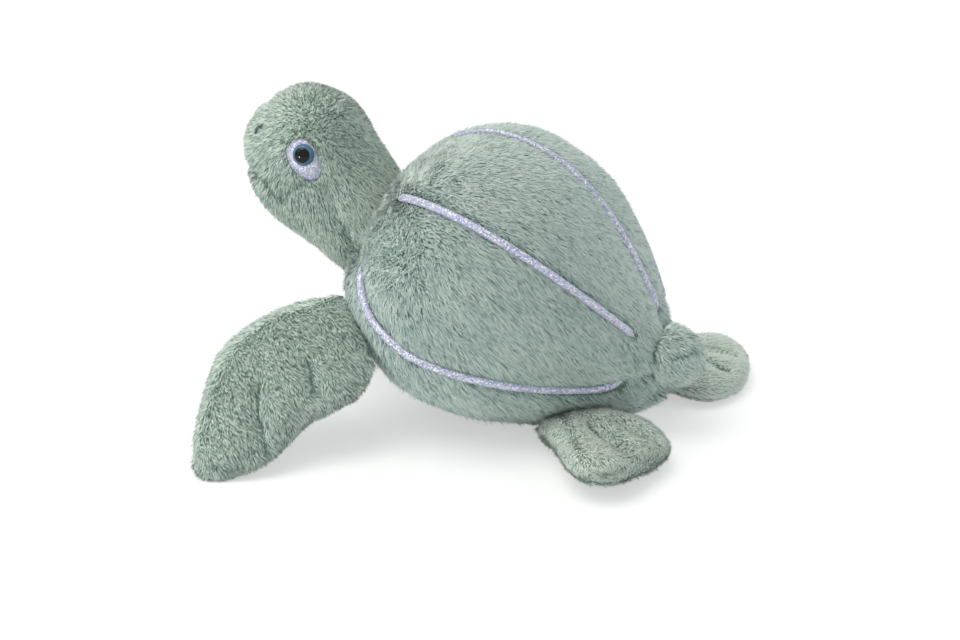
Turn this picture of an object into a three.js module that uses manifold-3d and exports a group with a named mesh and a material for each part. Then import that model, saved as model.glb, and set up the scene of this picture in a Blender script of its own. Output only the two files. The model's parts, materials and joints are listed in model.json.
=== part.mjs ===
// A stuffed sea turtle that lies on its belly with its head raised.
// Millimetres, +Z up, the head towards -Y and the turtle's left side towards +X.
import * as THREE from 'three';
import { mergeVertices } from 'three/addons/utils/BufferGeometryUtils.js';
import Module from 'manifold-3d';

const wasm = await Module();
wasm.setup();

// Cloth, seams and clearances
const clothThick = 2.6;
const seamGap = 0.4;
const stuffingGap = 0.9;
const looseFit = 0.3;
const floorCut = 0.5;
const cutOverrun = 5;

// Turns in degrees, and how finely surfaces are searched
const fullTurn = 360;
const halfTurn = 180;
const quarterTurn = 90;
const degree = 1;
const searchSteps = 60;
const settleRounds = 24;

// Body under the shell: length along its own axis, width, height above and below that axis
const bodyLength = 193;
const bodyWidth = 188;
const crownHeight = 85.5;
const shoulderShare = 0.025;
const bellyDepth = 72.5;
const bodyPitchDegrees = 20;
const frontBluntShare = 0.48;
const sideShares = { bluntShare: 0.93, leanShare: -0.346 };
const crownShares = { bluntShare: 0.845, leanShare: -0.413 };
const bellyShares = { bluntShare: 0.304, leanShare: -0.237 };

// Seams of the shell, in degrees down from its ridge, and where its panels end at both poles
const middleSeamDegrees = 47.4;
const lowerSeamDegrees = 103;
// The lower seam rises at both ends: way from the front opening to the rear, and share of its turn
const lowerSeamShares = [
  [0, 0.815],
  [0.11, 0.825],
  [0.167, 0.86],
  [0.222, 0.942],
  [0.278, 0.986],
  [0.39, 1.015],
  [0.56, 1],
  [0.72, 0.998],
  [0.78, 0.985],
  [0.833, 0.927],
  [0.89, 0.903],
  [1, 0.893],
];
const frontOpeningDegrees = 9;
const rearOpeningDegrees = 168;
const panelSteps = 18;
const upperPanelSteps = 4;
const sidePanelSteps = 4;
const bellySteps = 10;

// Piping: a cord wrapped in a glitter strip, and the share of the seam that each run covers
const pipingWidth = 4.5;
const pipingWall = 0.7;
const pipingSides = 6;
const pipingSteps = 16;
const pipingCordSides = 5;
const pipingRuns = [
  { name: 'ridge', seam: 0, startStep: 3, endStep: 14 },
  { name: 'left_middle', seam: middleSeamDegrees, startStep: 3, endStep: 14 },
  { name: 'right_middle', seam: fullTurn - middleSeamDegrees, startStep: 3, endStep: 14 },
  { name: 'left_lower', seam: lowerSeamDegrees, startStep: 3, endStep: 15 },
  { name: 'right_lower', seam: fullTurn - lowerSeamDegrees, startStep: 3, endStep: 15 },
];

// Head and neck: one bag whose axis rises from inside the shell to the crown
const headLength = 112;
const headDepth = 90;
const headWidth = 76;
const headReach = 94;
const neckDrop = 5.6;
const headTiltDegrees = 46.4;
const headSideSteps = 6;
const throatSteps = 6;
const snoutTaperShare = 0.19;
// Rows at even steps of the root of the way along: nape, throat and half width, from crown to neck
const headOutlineShares = [
  [0.02, 0.02, 0],
  [-0.13, 0.18, 0.11],
  [-0.25, 0.295, 0.22],
  [-0.345, 0.38, 0.325],
  [-0.41, 0.415, 0.41],
  [-0.452, 0.468, 0.475],
  [-0.455, 0.522, 0.5],
  [-0.43, 0.515, 0.49],
  [-0.4, 0.458, 0.46],
  [-0.37, 0.4, 0.43],
  [-0.33, 0.34, 0.4],
];
const crownRowShares = [0.02, 0.1, 0.19, 0.28, 0.36, 0.44];
const neckRowShares = [0.46, 0.48, 0.51, 0.55, 0.6, 0.66, 0.74, 0.83, 0.92, 1, 1.06];
const headRowShares = [...crownRowShares, ...neckRowShares];
// Seam round the mouth and down the neck: root of the way along, and turn from the nape
const mouthShare = 0.44;
const headSeamShares = [
  [0.44, 1],
  [0.46, 0.86],
  [0.48, 0.77],
  [0.51, 0.67],
  [0.55, 0.585],
  [0.6, 0.51],
  [0.66, 0.465],
  [0.74, 0.44],
  [0.83, 0.46],
  [0.92, 0.525],
  [1, 0.56],
];

// Eyes: glitter patch, plastic eye with its shank, and a lock washer behind the cloth
const eyeAlongShare = 0.592;
const eyeTurnShare = 0.37;
const eyeWidth = 12;
const eyeHeight = 5;
const irisRim = 1.6;
const pupilWidth = 8.2;
const pupilSeat = 1.2;
const pupilRise = 0.7;
const pupilDomeShares = [
  [0.75, 0.6],
  [0.4, 0.9],
  [0, 1],
];
const shankWidth = 4;
const shankLength = 11;
const washerWidth = 14;
const washerThick = 1.5;
const eyeSegments = 16;
const patchWidth = 20.5;
const patchHeight = 23;
const patchThick = 0.8;
const patchDrop = 2.6;
const patchTurnDegrees = 30;
const patchRings = 2;
const patchSegments = 16;

// Nostrils: a short satin-stitched curve each
const nostrilAlongShare = 0.3;
const nostrilTurnShare = 0.56;
const nostrilArc = 3.2;
const nostrilThread = 1.6;
const nostrilSweepDegrees = 150;
const nostrilSteps = 6;
const nostrilSides = 6;

// Tail: a short round stub sewn over the rear end of the seams
const tailLength = 40;
const tailWidth = 34;
const tailHeight = 36;
const tailBackShare = 0.84;
const tailDropShare = 0.3;
const tailSegments = 12;
const tailRings = 8;

// Flippers: span, chord and thickness, the pinched seam they hang on and its place on the body,
// and outline rows of way along, front edge and rear edge
const flipperHalfSteps = 5;
const rootEdgeShare = 0.15;
const frontFlipper = {
  name: 'front',
  spanLength: 111,
  chord: 77,
  thick: 26,
  rootThick: 6.4,
  rootAlongDegrees: 45,
  leftAroundDegrees: 122,
  rightAroundDegrees: 122,
  outlineShares: [
    [0, 0.32, -0.33],
    [0.012, 0.326, -0.35],
    [0.04, 0.34, -0.4],
    [0.13, 0.375, -0.51],
    [0.26, 0.41, -0.545],
    [0.41, 0.4, -0.56],
    [0.54, 0.365, -0.65],
    [0.67, 0.28, -0.715],
    [0.785, 0.095, -0.725],
    [0.89, -0.14, -0.705],
    [0.955, -0.32, -0.67],
    [0.99, -0.45, -0.61],
    [1, -0.53, -0.53],
  ],
};
const rearFlipper = {
  name: 'rear',
  spanLength: 88,
  chord: 57,
  thick: 23,
  rootThick: 6.4,
  rootAlongDegrees: 121,
  leftAroundDegrees: 143,
  rightAroundDegrees: 126,
  outlineShares: [
    [0, 0.4, -0.44],
    [0.015, 0.392, -0.47],
    [0.05, 0.37, -0.53],
    [0.18, 0.29, -0.77],
    [0.33, 0.23, -0.96],
    [0.49, 0.2, -0.985],
    [0.64, 0.19, -0.9],
    [0.77, 0.175, -0.76],
    [0.87, 0.14, -0.61],
    [0.95, 0.07, -0.46],
    [0.985, 0, -0.35],
    [1, -0.16, -0.16],
  ],
};
const thickenShare = 0.42;

// Colours from the toy's pile, glitter cloth and plastics
const colours = {
  pile: 0x93ab9f,
  pileDark: 0x86a094,
  glitter: 0xb7bbd6,
  stuffing: 0xf2f1ec,
  cord: 0xe6e4de,
  iris: 0x4b6c86,
  pupil: 0x101214,
  washer: 0xdedede,
  thread: 0x34505a,
};

const radians = THREE.MathUtils.degToRad;
const cloth = (color) => new THREE.MeshStandardMaterial({ color, roughness: 0.95, metalness: 0 });
const plastic = (color) => new THREE.MeshStandardMaterial({ color, roughness: 0.15, metalness: 0 });
const glitterCloth = () =>
  new THREE.MeshStandardMaterial({ color: colours.glitter, roughness: 0.35, metalness: 0.3 });

// Mesh helpers
function closedGeometry(corners, triangles) {
  const raw = new THREE.BufferGeometry();
  const flat = corners.flatMap((corner) => [corner.x, corner.y, corner.z]);
  raw.setAttribute('position', new THREE.Float32BufferAttribute(flat, 3));
  raw.setIndex(triangles.flat());
  const merged = mergeVertices(raw);
  const index = Array.from(merged.index.array);
  const kept = [];
  for (let i = 0; i < index.length; i += 3) {
    const [a, b, c] = index.slice(i, i + 3);
    if (a !== b && b !== c && c !== a) kept.push([a, b, c]);
  }
  const outward = signedVolume(merged.attributes.position, kept) > 0;
  merged.setIndex(kept.flatMap(([a, b, c]) => (outward ? [a, b, c] : [a, c, b])));
  return merged;
}

function signedVolume(position, triangles) {
  const [a, b, c] = [0, 1, 2].map(() => new THREE.Vector3());
  return triangles.reduce((sum, [i, j, k]) => {
    a.fromBufferAttribute(position, i);
    b.fromBufferAttribute(position, j);
    c.fromBufferAttribute(position, k);
    return sum + a.dot(b.cross(c));
  }, 0);
}

// A sheet between two grids of points, closed along its four edges
function sheetSolid(outer, inner) {
  const rows = outer.length;
  const columns = outer[0].length;
  const corners = [...outer.flat(), ...inner.flat()];
  const at = (layer, i, j) => layer * rows * columns + i * columns + j;
  const triangles = [];
  const quad = (a, b, c, d) => triangles.push([a, b, c], [a, c, d]);
  for (let i = 0; i + 1 < rows; i += 1) {
    for (let j = 0; j + 1 < columns; j += 1) {
      quad(at(0, i, j), at(0, i, j + 1), at(0, i + 1, j + 1), at(0, i + 1, j));
      quad(at(1, i, j), at(1, i + 1, j), at(1, i + 1, j + 1), at(1, i, j + 1));
    }
    quad(at(0, i, 0), at(0, i + 1, 0), at(1, i + 1, 0), at(1, i, 0));
    const last = columns - 1;
    quad(at(0, i, last), at(1, i, last), at(1, i + 1, last), at(0, i + 1, last));
  }
  for (let j = 0; j + 1 < columns; j += 1) {
    const last = rows - 1;
    quad(at(0, 0, j), at(1, 0, j), at(1, 0, j + 1), at(0, 0, j + 1));
    quad(at(0, last, j), at(0, last, j + 1), at(1, last, j + 1), at(1, last, j));
  }
  return closedGeometry(corners, triangles);
}

// A solid through rings of points, closed by a fan at each end
function ringSolid(rings) {
  const count = rings[0].length;
  const corners = rings.flat();
  const triangles = [];
  for (let i = 0; i + 1 < rings.length; i += 1) {
    for (let j = 0; j < count; j += 1) {
      const next = (j + 1) % count;
      const [a, b, c, d] = [i * count + j, i * count + next, (i + 1) * count + next, (i + 1) * count + j];
      triangles.push([a, b, c], [a, c, d]);
    }
  }
  const ends = [
    [0, false],
    [rings.length - 1, true],
  ];
  ends.forEach(([row, turned]) => {
    const middle = rings[row].reduce((sum, point) => sum.add(point), new THREE.Vector3());
    corners.push(middle.divideScalar(count));
    const hub = corners.length - 1;
    for (let j = 0; j < count; j += 1) {
      const rim = [row * count + j, row * count + ((j + 1) % count)];
      triangles.push(turned ? [hub, rim[0], rim[1]] : [hub, rim[1], rim[0]]);
    }
  });
  return closedGeometry(corners, triangles);
}

function toSolid(geometry) {
  const bare = geometry.clone();
  bare.deleteAttribute('normal');
  bare.deleteAttribute('uv');
  const merged = mergeVertices(bare);
  return new wasm.Manifold(
    new wasm.Mesh({
      numProp: 3,
      vertProperties: new Float32Array(merged.attributes.position.array),
      triVerts: new Uint32Array(merged.index.array),
    }),
  );
}

function toGeometry(solid) {
  const mesh = solid.getMesh();
  const geometry = new THREE.BufferGeometry();
  geometry.setAttribute('position', new THREE.BufferAttribute(mesh.vertProperties, 3));
  geometry.setIndex(new THREE.BufferAttribute(mesh.triVerts, 1));
  return geometry;
}

function cut(geometry, ...tools) {
  const solid = tools.reduce((rest, tool) => rest.subtract(toSolid(tool)), toSolid(geometry));
  return toGeometry(solid);
}

const steps = (count) => Array.from({ length: count + 1 }, (_, i) => i / count);

// The value at a way between the rows of a table of ways and values
function between(table, way) {
  const next = Math.max(1, table.findIndex(([share]) => share >= way));
  const [before, after] = [table[next - 1], table[next]];
  return THREE.MathUtils.mapLinear(way, before[0], after[0], before[1], after[1]);
}

// Body surface: way along from the front pole to the rear pole, and turn from the ridge
const pitchedAxis = (turn) => new THREE.Vector3(0, Math.cos(radians(turn)), -Math.sin(radians(turn)));
const pitchedUp = (turn) => new THREE.Vector3(0, Math.sin(radians(turn)), Math.cos(radians(turn)));
const bodyAxis = pitchedAxis(bodyPitchDegrees);
const bodyUp = pitchedUp(bodyPitchDegrees);
const sideways = new THREE.Vector3(1, 0, 0);

function swell(way, shares) {
  const shape = (t) => {
    const share = (t + 1) / 2;
    const ease = share * share * (3 - 2 * share);
    const power = frontBluntShare + (shares.bluntShare - frontBluntShare) * ease;
    return Math.max(1 - t * t, 0) ** power * (1 + shares.leanShare * t);
  };
  const widest = Math.max(...steps(searchSteps).map((share) => shape(2 * share - 1)));
  return shape(way) / widest;
}

function bodyOffset(along, around, inset) {
  const way = -Math.cos(radians(along));
  const turn = radians(around);
  const upper = Math.cos(turn) > 0;
  const rise = upper
    ? (crownHeight - inset) * swell(way, crownShares)
    : (bellyDepth - inset) * swell(way, bellyShares);
  const reach = (bodyWidth / 2 - inset) * swell(way, sideShares);
  const shoulder = upper ? 1 + shoulderShare * Math.sin(2 * turn) ** 2 : 1;
  return new THREE.Vector3()
    .addScaledVector(bodyAxis, (bodyLength / 2 - inset) * way)
    .addScaledVector(bodyUp, rise * shoulder * Math.cos(turn))
    .addScaledVector(sideways, reach * shoulder * Math.sin(turn));
}

function lowestOf(point, alongs, arounds) {
  return Math.min(...alongs.flatMap((along) => arounds.map((around) => point(along, around).z)));
}

const bodyLowest = lowestOf(
  (along, around) => bodyOffset(along, around, 0),
  steps(searchSteps).map((share) => share * halfTurn),
  steps(bellySteps).map((share) => halfTurn - share * middleSeamDegrees),
);
const bodyCentre = new THREE.Vector3(0, 0, -bodyLowest - floorCut);

function bodyPoint(along, around, inset = 0) {
  return bodyOffset(along, around, inset).add(bodyCentre);
}

function surfaceFrame(point, along, around, alongStep, aroundStep) {
  const forward = point(along + alongStep, around).sub(point(along - alongStep, around));
  const across = point(along, around + aroundStep).sub(point(along, around - aroundStep));
  const normal = new THREE.Vector3().crossVectors(across, forward).normalize();
  return {
    place: point(along, around),
    normal,
    forward: forward.clone().normalize(),
    across: across.clone().normalize(),
    alongRate: forward.length() / (2 * alongStep),
    aroundRate: across.length() / (2 * aroundStep),
  };
}

const bodyFrame = (along, around) => surfaceFrame(bodyPoint, along, around, degree, degree);

// Shell panels, belly and stuffing
const panelAlongs = steps(panelSteps).map(
  (share) => frontOpeningDegrees + (rearOpeningDegrees - frontOpeningDegrees) * share,
);

// A seam's turn from the ridge, which only the lower seams change along the body
function seamTurn(seam, along) {
  const way = (along - frontOpeningDegrees) / (rearOpeningDegrees - frontOpeningDegrees);
  const lower = lowerSeamDegrees * between(lowerSeamShares, THREE.MathUtils.clamp(way, 0, 1));
  if (seam === lowerSeamDegrees) return lower;
  return seam === fullTurn - lowerSeamDegrees ? fullTurn - lower : seam;
}

function seamHalfGap(seam, step) {
  const run = pipingRuns.find((piping) => piping.seam === seam % fullTurn);
  const piped = run && step >= run.startStep && step <= run.endStep;
  return piped ? pipingWidth / 2 + 2 * looseFit : seamGap / 2;
}

function shellPanel(fromSeam, toSeam, count) {
  const layer = (inset) =>
    panelAlongs.map((along, step) => {
      const [start, end] = [seamTurn(fromSeam, along), seamTurn(toSeam, along)];
      const from = start + seamHalfGap(fromSeam, step) / bodyFrame(along, start).aroundRate;
      const to = end - seamHalfGap(toSeam, step) / bodyFrame(along, end).aroundRate;
      return steps(count).map((share) => {
        const even = start + (end - start) * share;
        return bodyPoint(along, Math.min(Math.max(even, from), to), inset);
      });
    });
  return sheetSolid(layer(0), layer(clothThick));
}

function seamTurns(along) {
  const lower = seamTurn(lowerSeamDegrees, along);
  const spread = (from, to, count) => steps(count).slice(0, -1).map((share) => from + (to - from) * share);
  return [
    ...spread(0, middleSeamDegrees, upperPanelSteps),
    ...spread(middleSeamDegrees, lower, sidePanelSteps),
    ...spread(lower, fullTurn - lower, bellySteps),
    ...spread(fullTurn - lower, fullTurn - middleSeamDegrees, sidePanelSteps),
    ...spread(fullTurn - middleSeamDegrees, fullTurn, upperPanelSteps),
  ];
}

function bodyForm(inset) {
  const poleAlong = [frontOpeningDegrees / 3, ...panelAlongs, (halfTurn + 2 * rearOpeningDegrees) / 3];
  return ringSolid(poleAlong.map((along) => seamTurns(along).map((turn) => bodyPoint(along, turn, inset))));
}

// The floor below the toy, which flattens whatever rests on it
function floorBlock() {
  const reach = bodyLength + headLength;
  const block = new THREE.BoxGeometry(2 * reach, 2 * reach, 2 * cutOverrun);
  return block.translate(0, 0, -cutOverrun);
}

// Piping along a seam: the wrapped strip and the cord in it
function pipingPath(run) {
  const depth = clothThick + seamGap - pipingWidth / 2 - 2 * looseFit;
  const points = panelAlongs
    .slice(run.startStep, run.endStep + 1)
    .map((along) => bodyPoint(along, seamTurn(run.seam, along), depth));
  return new THREE.CatmullRomCurve3(points);
}

function circlePath(target, radius, sides) {
  steps(sides)
    .slice(0, -1)
    .forEach((share, i) => {
      const turn = radians(fullTurn * share);
      const [x, y] = [radius * Math.cos(turn), radius * Math.sin(turn)];
      if (i === 0) target.moveTo(x, y);
      else target.lineTo(x, y);
    });
  target.closePath();
  return target;
}

function pipingTube(run, radius, sides, bore) {
  const section = circlePath(new THREE.Shape(), radius, sides);
  if (bore) section.holes.push(circlePath(new THREE.Path(), bore, sides));
  return new THREE.ExtrudeGeometry(section, { steps: pipingSteps, extrudePath: pipingPath(run) });
}

// Head surface: root of the way along from the crown, and turn from the nape
const headAxis = pitchedAxis(headTiltDegrees);
const headFront = pitchedUp(headTiltDegrees).negate();
const headCrown = bodyPoint(0, 0)
  .addScaledVector(headFront, neckDrop)
  .addScaledVector(headAxis, -headReach);
const headCurve = new THREE.CatmullRomCurve3(
  headOutlineShares.map((row) => new THREE.Vector3(...row)),
  false,
  'catmullrom',
);

function headPoint(root, around, inset = 0) {
  const row = headCurve.getPoint(THREE.MathUtils.clamp(root, 0, 1));
  const shrink = 1 - (2 * inset) / headWidth;
  const middle = ((row.x + row.y) / 2) * headDepth;
  const rise = ((row.y - row.x) / 2) * headDepth * shrink;
  const turn = radians(around);
  const taper = snoutTaperShare * Math.max(1 - root, 0) * (1 - Math.cos(turn));
  const reach = row.z * headWidth * shrink * (1 - taper);
  return headCrown
    .clone()
    .addScaledVector(headAxis, inset + root * root * (headLength - inset))
    .addScaledVector(headFront, middle - rise * Math.cos(turn))
    .addScaledVector(sideways, reach * Math.sin(turn));
}

const rootStepShare = 0.01;
const headFrame = (root, around) => surfaceFrame(headPoint, root, around, rootStepShare, degree);

function headSeamTurn(root) {
  return halfTurn * between(headSeamShares, THREE.MathUtils.clamp(root, mouthShare, 1));
}

function headSidePanel(side) {
  const layer = (inset) =>
    headRowShares.map((root) => {
      const gap = seamGap / 2 / headFrame(root, quarterTurn).aroundRate;
      const to = headSeamTurn(root) - gap;
      return steps(headSideSteps).map((share) =>
        headPoint(root, side * (gap + (to - gap) * share), inset),
      );
    });
  return sheetSolid(layer(0), layer(clothThick));
}

function throatPanel() {
  const roots = headRowShares.filter((root) => root > mouthShare);
  const layer = (inset) =>
    roots.map((root) => {
      const gap = seamGap / 2 / headFrame(root, quarterTurn).aroundRate;
      const from = headSeamTurn(root) + gap;
      return steps(throatSteps).map((share) =>
        headPoint(root, from + (fullTurn - 2 * from) * share, inset),
      );
    });
  return sheetSolid(layer(0), layer(clothThick));
}

function headTurns(root) {
  const seam = headSeamTurn(root);
  const near = steps(headSideSteps).map((share) => seam * share);
  const under = steps(throatSteps).map((share) => seam + (fullTurn - 2 * seam) * share);
  const far = near.slice(1).reverse().map((turn) => fullTurn - turn);
  return [...near, ...under.slice(1, -1), ...far];
}

function headForm(inset) {
  return ringSolid(headRowShares.map((root) => headTurns(root).map((turn) => headPoint(root, turn, inset))));
}

// Eyes, in a frame on the head: x to the throat, y to the neck, z out of the cloth
function eyePlacement(side) {
  const frame = headFrame(eyeAlongShare, side * eyeTurnShare * halfTurn);
  const outward = frame.normal.clone();
  if (outward.x * side < 0) outward.negate();
  const down = frame.across.clone().multiplyScalar(side);
  const third = new THREE.Vector3().crossVectors(outward, down);
  return new THREE.Matrix4().makeBasis(down, third, outward).setPosition(frame.place);
}

function turned(points) {
  const profile = points.map(([radius, height]) => new THREE.Vector2(radius, height));
  return new THREE.LatheGeometry(profile, eyeSegments).rotateX(radians(quarterTurn));
}

const eyeBase = looseFit + patchThick + looseFit;

function irisProfile() {
  const rim = eyeWidth / 2;
  const seat = pupilWidth / 2 + looseFit;
  const shoulder = eyeHeight - irisRim / 2;
  return [
    [0, eyeBase - shankLength],
    [shankWidth / 2, eyeBase - shankLength],
    [shankWidth / 2, eyeBase],
    [rim - looseFit, eyeBase],
    [rim, eyeBase + irisRim / 2],
    [(rim + seat) / 2 + looseFit, eyeBase + shoulder - irisRim / 2],
    [seat, eyeBase + shoulder],
    [seat, eyeBase + shoulder - pupilSeat],
    [0, eyeBase + shoulder - pupilSeat],
  ];
}

function pupilProfile() {
  const floor = eyeBase + eyeHeight - irisRim / 2 - pupilSeat + looseFit;
  const edge = pupilWidth / 2;
  const rim = floor + pupilSeat - looseFit;
  const dome = pupilDomeShares.map(([out, up]) => [edge * out, rim + pupilRise * up]);
  return [[0, floor], [edge, floor], [edge, rim], ...dome];
}

const washerTop = -clothThick - looseFit;

function washerProfile() {
  const bore = shankWidth / 2 + looseFit;
  return [
    [bore, washerTop - washerThick],
    [washerWidth / 2, washerTop - washerThick],
    [washerWidth / 2, washerTop],
    [bore, washerTop],
    [bore, washerTop - washerThick],
  ];
}

// The room that shank and washer take out of cloth, patch and stuffing
function eyeHole(side) {
  const shank = shankWidth / 2 + looseFit;
  const pocket = washerWidth / 2 + looseFit;
  const top = eyeBase + cutOverrun;
  const profile = [
    [0, eyeBase - shankLength - looseFit],
    [shank, eyeBase - shankLength - looseFit],
    [shank, washerTop - washerThick - looseFit],
    [pocket, washerTop - washerThick - looseFit],
    [pocket, -clothThick],
    [shank, -clothThick],
    [shank, top],
    [0, top],
  ];
  return turned(profile).applyMatrix4(eyePlacement(side));
}

// Glitter patch: a drop round the eye that hangs towards the neck
function eyePatch(side) {
  const centre = headFrame(eyeAlongShare, side * eyeTurnShare * halfTurn);
  const lean = radians(patchTurnDegrees);
  const rimAt = (share) => {
    const turn = radians(fullTurn * share);
    const far = (patchHeight / 2) * Math.cos(turn) + patchDrop;
    const wide = (patchWidth / 2) * Math.sin(turn) * (1 + (patchDrop / patchWidth) * Math.cos(turn));
    const down = far * Math.sin(lean) - wide * Math.cos(lean);
    const back = far * Math.cos(lean) + wide * Math.sin(lean);
    return [down, back];
  };
  const layer = (lift) =>
    steps(patchRings).map((ring) =>
      steps(patchSegments)
        .slice(0, -1)
        .map((share) => {
          const [down, back] = rimAt(share);
          return headPoint(
            eyeAlongShare + (back * ring) / centre.alongRate,
            side * (eyeTurnShare * halfTurn + (down * ring) / centre.aroundRate),
            -lift,
          );
        }),
    );
  const top = layer(looseFit + patchThick);
  const bottom = layer(looseFit).reverse();
  return ringSolid([...top, ...bottom]);
}

// Nostril: thread along a small arc that opens towards the mouth
function nostril(side) {
  const turn = side * nostrilTurnShare * halfTurn;
  const centre = headFrame(nostrilAlongShare, turn);
  const points = steps(nostrilSteps).map((share) => {
    const angle = radians(nostrilSweepDegrees * (share - 1 / 2));
    return headPoint(
      nostrilAlongShare - (nostrilArc * Math.cos(angle)) / centre.alongRate,
      turn + (nostrilArc * Math.sin(angle)) / centre.aroundRate,
      -looseFit - nostrilThread / 2,
    );
  });
  const path = new THREE.CatmullRomCurve3(points);
  const section = circlePath(new THREE.Shape(), nostrilThread / 2, nostrilSides);
  return new THREE.ExtrudeGeometry(section, { steps: nostrilSteps, extrudePath: path });
}

// Tail stub
function tailForm(inset) {
  const stub = new THREE.SphereGeometry(1, tailSegments, tailRings);
  stub.rotateX(radians(quarterTurn));
  stub.scale(tailWidth / 2 - inset, tailLength / 2 - inset, tailHeight / 2 - inset);
  const [back, drop] = [(tailBackShare * bodyLength) / 2, tailDropShare * bellyDepth];
  return stub.translate(0, bodyCentre.y + back, bodyCentre.z - drop);
}

// Flippers, each in a frame of its own: x from the seam to the tip, y to the front, z down
function flipperPose(kind, word) {
  const root = bodyFrame(kind.rootAlongDegrees, kind[`${word}AroundDegrees`]);
  const outward = root.normal.clone();
  if (outward.x < 0) outward.negate();
  const rootLine = root.forward.clone().negate();
  const hinge = root.place.clone().addScaledVector(outward, looseFit + kind.rootThick / 2);
  return { hinge, rootLine, outward };
}

const flipperRows = (kind) => steps(kind.outlineShares.length - 1);

function flipperLocal(kind, row, turn, inset) {
  const curve = new THREE.CatmullRomCurve3(
    kind.outlineShares.map((shares) => new THREE.Vector3(...shares)),
    false,
    'catmullrom',
  );
  const shares = curve.getPoint(row);
  const rootHalf = kind.rootThick / 2;
  const full = kind.thick / 2;
  const grow = THREE.MathUtils.smoothstep(shares.x, 0, thickenShare);
  const edge = 1 - Math.min(shares.x * kind.spanLength, rootHalf) / rootHalf;
  const pinch = Math.sqrt(Math.max(1 - edge * edge, rootEdgeShare));
  const roundTip = Math.sqrt(Math.max(1 - shares.x ** 3, 0));
  const half = (rootHalf * pinch + (full - rootHalf) * grow) * roundTip * (1 - inset / full);
  const middle = ((shares.y + shares.z) / 2) * kind.chord;
  const reach = ((shares.y - shares.z) / 2) * kind.chord * (1 - (2 * inset) / kind.chord);
  return new THREE.Vector3(
    shares.x * (kind.spanLength - inset) - rootHalf,
    middle + reach * Math.cos(radians(turn)),
    half * Math.sin(radians(turn)),
  );
}

function flipperBasis(pose, hang) {
  const span = pose.outward.clone().applyAxisAngle(pose.rootLine, radians(hang));
  const down = new THREE.Vector3().crossVectors(span, pose.rootLine);
  return new THREE.Matrix4().makeBasis(span, pose.rootLine, down).setPosition(pose.hinge);
}

// The hang angle, round the level one, at which the flipper's underside just reaches the floor
function settledBasis(kind, word) {
  const pose = flipperPose(kind, word);
  const rows = flipperRows(kind);
  const turns = steps(4 * flipperHalfSteps).map((share) => share * fullTurn);
  const lowest = (hang) => {
    const basis = flipperBasis(pose, hang);
    const point = (row, turn) => flipperLocal(kind, row, turn, 0).applyMatrix4(basis);
    return lowestOf(point, rows, turns);
  };
  const upward = new THREE.Vector3().crossVectors(pose.rootLine, pose.outward);
  const level = THREE.MathUtils.radToDeg(Math.atan2(-pose.outward.z, upward.z));
  let [low, high] = [level - quarterTurn / 2, level + quarterTurn / 2];
  for (let round = 0; round < settleRounds; round += 1) {
    const middle = (low + high) / 2;
    if (lowest(middle) < -floorCut) low = middle;
    else high = middle;
  }
  return flipperBasis(pose, high);
}

function flipperSkin(kind, face) {
  const lift = new THREE.Vector3(0, 0, (face * seamGap) / 2);
  const layer = (inset) =>
    flipperRows(kind).map((row) =>
      steps(flipperHalfSteps).map((share) =>
        flipperLocal(kind, row, face * halfTurn * share, inset).add(lift),
      ),
    );
  return sheetSolid(layer(0), layer(clothThick));
}

function flipperStuffing(kind) {
  const inset = clothThick + 2 * stuffingGap;
  const count = 2 * flipperHalfSteps;
  const rings = flipperRows(kind)
    .slice(2)
    .map((row) =>
      steps(count)
        .slice(0, -1)
        .map((share) => flipperLocal(kind, row, fullTurn * share, inset)),
    );
  return ringSolid(rings);
}

// Assembly
const turtle = new THREE.Group();

function add(name, geometry, material) {
  const mesh = new THREE.Mesh(geometry, material);
  mesh.name = name;
  turtle.add(mesh);
  return mesh;
}

// On the right side a mesh is mirrored and its triangles turned round, so that they face outwards
function onSide(geometry, side) {
  if (side > 0) return geometry;
  const index = Array.from(geometry.index.array);
  const turnedIndex = index.map((corner, i) => (i % 3 === 0 ? corner : index[i % 3 === 1 ? i + 1 : i - 1]));
  geometry.setIndex(turnedIndex);
  return geometry.scale(side, 1, 1);
}

function addBody() {
  const panels = [
    ['shell_left_upper_panel', 0, middleSeamDegrees, upperPanelSteps],
    ['shell_left_side_panel', middleSeamDegrees, lowerSeamDegrees, sidePanelSteps],
    ['shell_right_side_panel', fullTurn - lowerSeamDegrees, fullTurn - middleSeamDegrees, sidePanelSteps],
    ['shell_right_upper_panel', fullTurn - middleSeamDegrees, fullTurn, upperPanelSteps],
  ];
  panels.forEach(([name, from, to, count]) => add(name, shellPanel(from, to, count), cloth(colours.pile)));
  const belly = shellPanel(lowerSeamDegrees, fullTurn - lowerSeamDegrees, bellySteps);
  add('belly_panel', cut(belly, floorBlock()), cloth(colours.pileDark));
  add('body_stuffing', bodyForm(clothThick + seamGap), cloth(colours.stuffing));
}

function addPiping() {
  pipingRuns.forEach((run) => {
    const bore = pipingWidth / 2 - pipingWall;
    add(`${run.name}_piping`, pipingTube(run, pipingWidth / 2, pipingSides, bore), glitterCloth());
    const cordRadius = bore * Math.cos(radians(halfTurn / pipingSides)) - looseFit;
    add(`${run.name}_piping_cord`, pipingTube(run, cordRadius, pipingCordSides), cloth(colours.cord));
  });
}

function addHead() {
  const bodyRoom = bodyForm(-looseFit);
  const holes = [eyeHole(1), eyeHole(-1)];
  add('head_left_panel', cut(headSidePanel(1), bodyRoom, holes[0]), cloth(colours.pile));
  add('head_right_panel', cut(headSidePanel(-1), bodyRoom, holes[1]), cloth(colours.pile));
  add('throat_panel', cut(throatPanel(), bodyRoom), cloth(colours.pileDark));
  const stuffing = cut(headForm(clothThick + stuffingGap), bodyRoom, ...holes);
  add('head_stuffing', stuffing, cloth(colours.stuffing));
}

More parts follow.
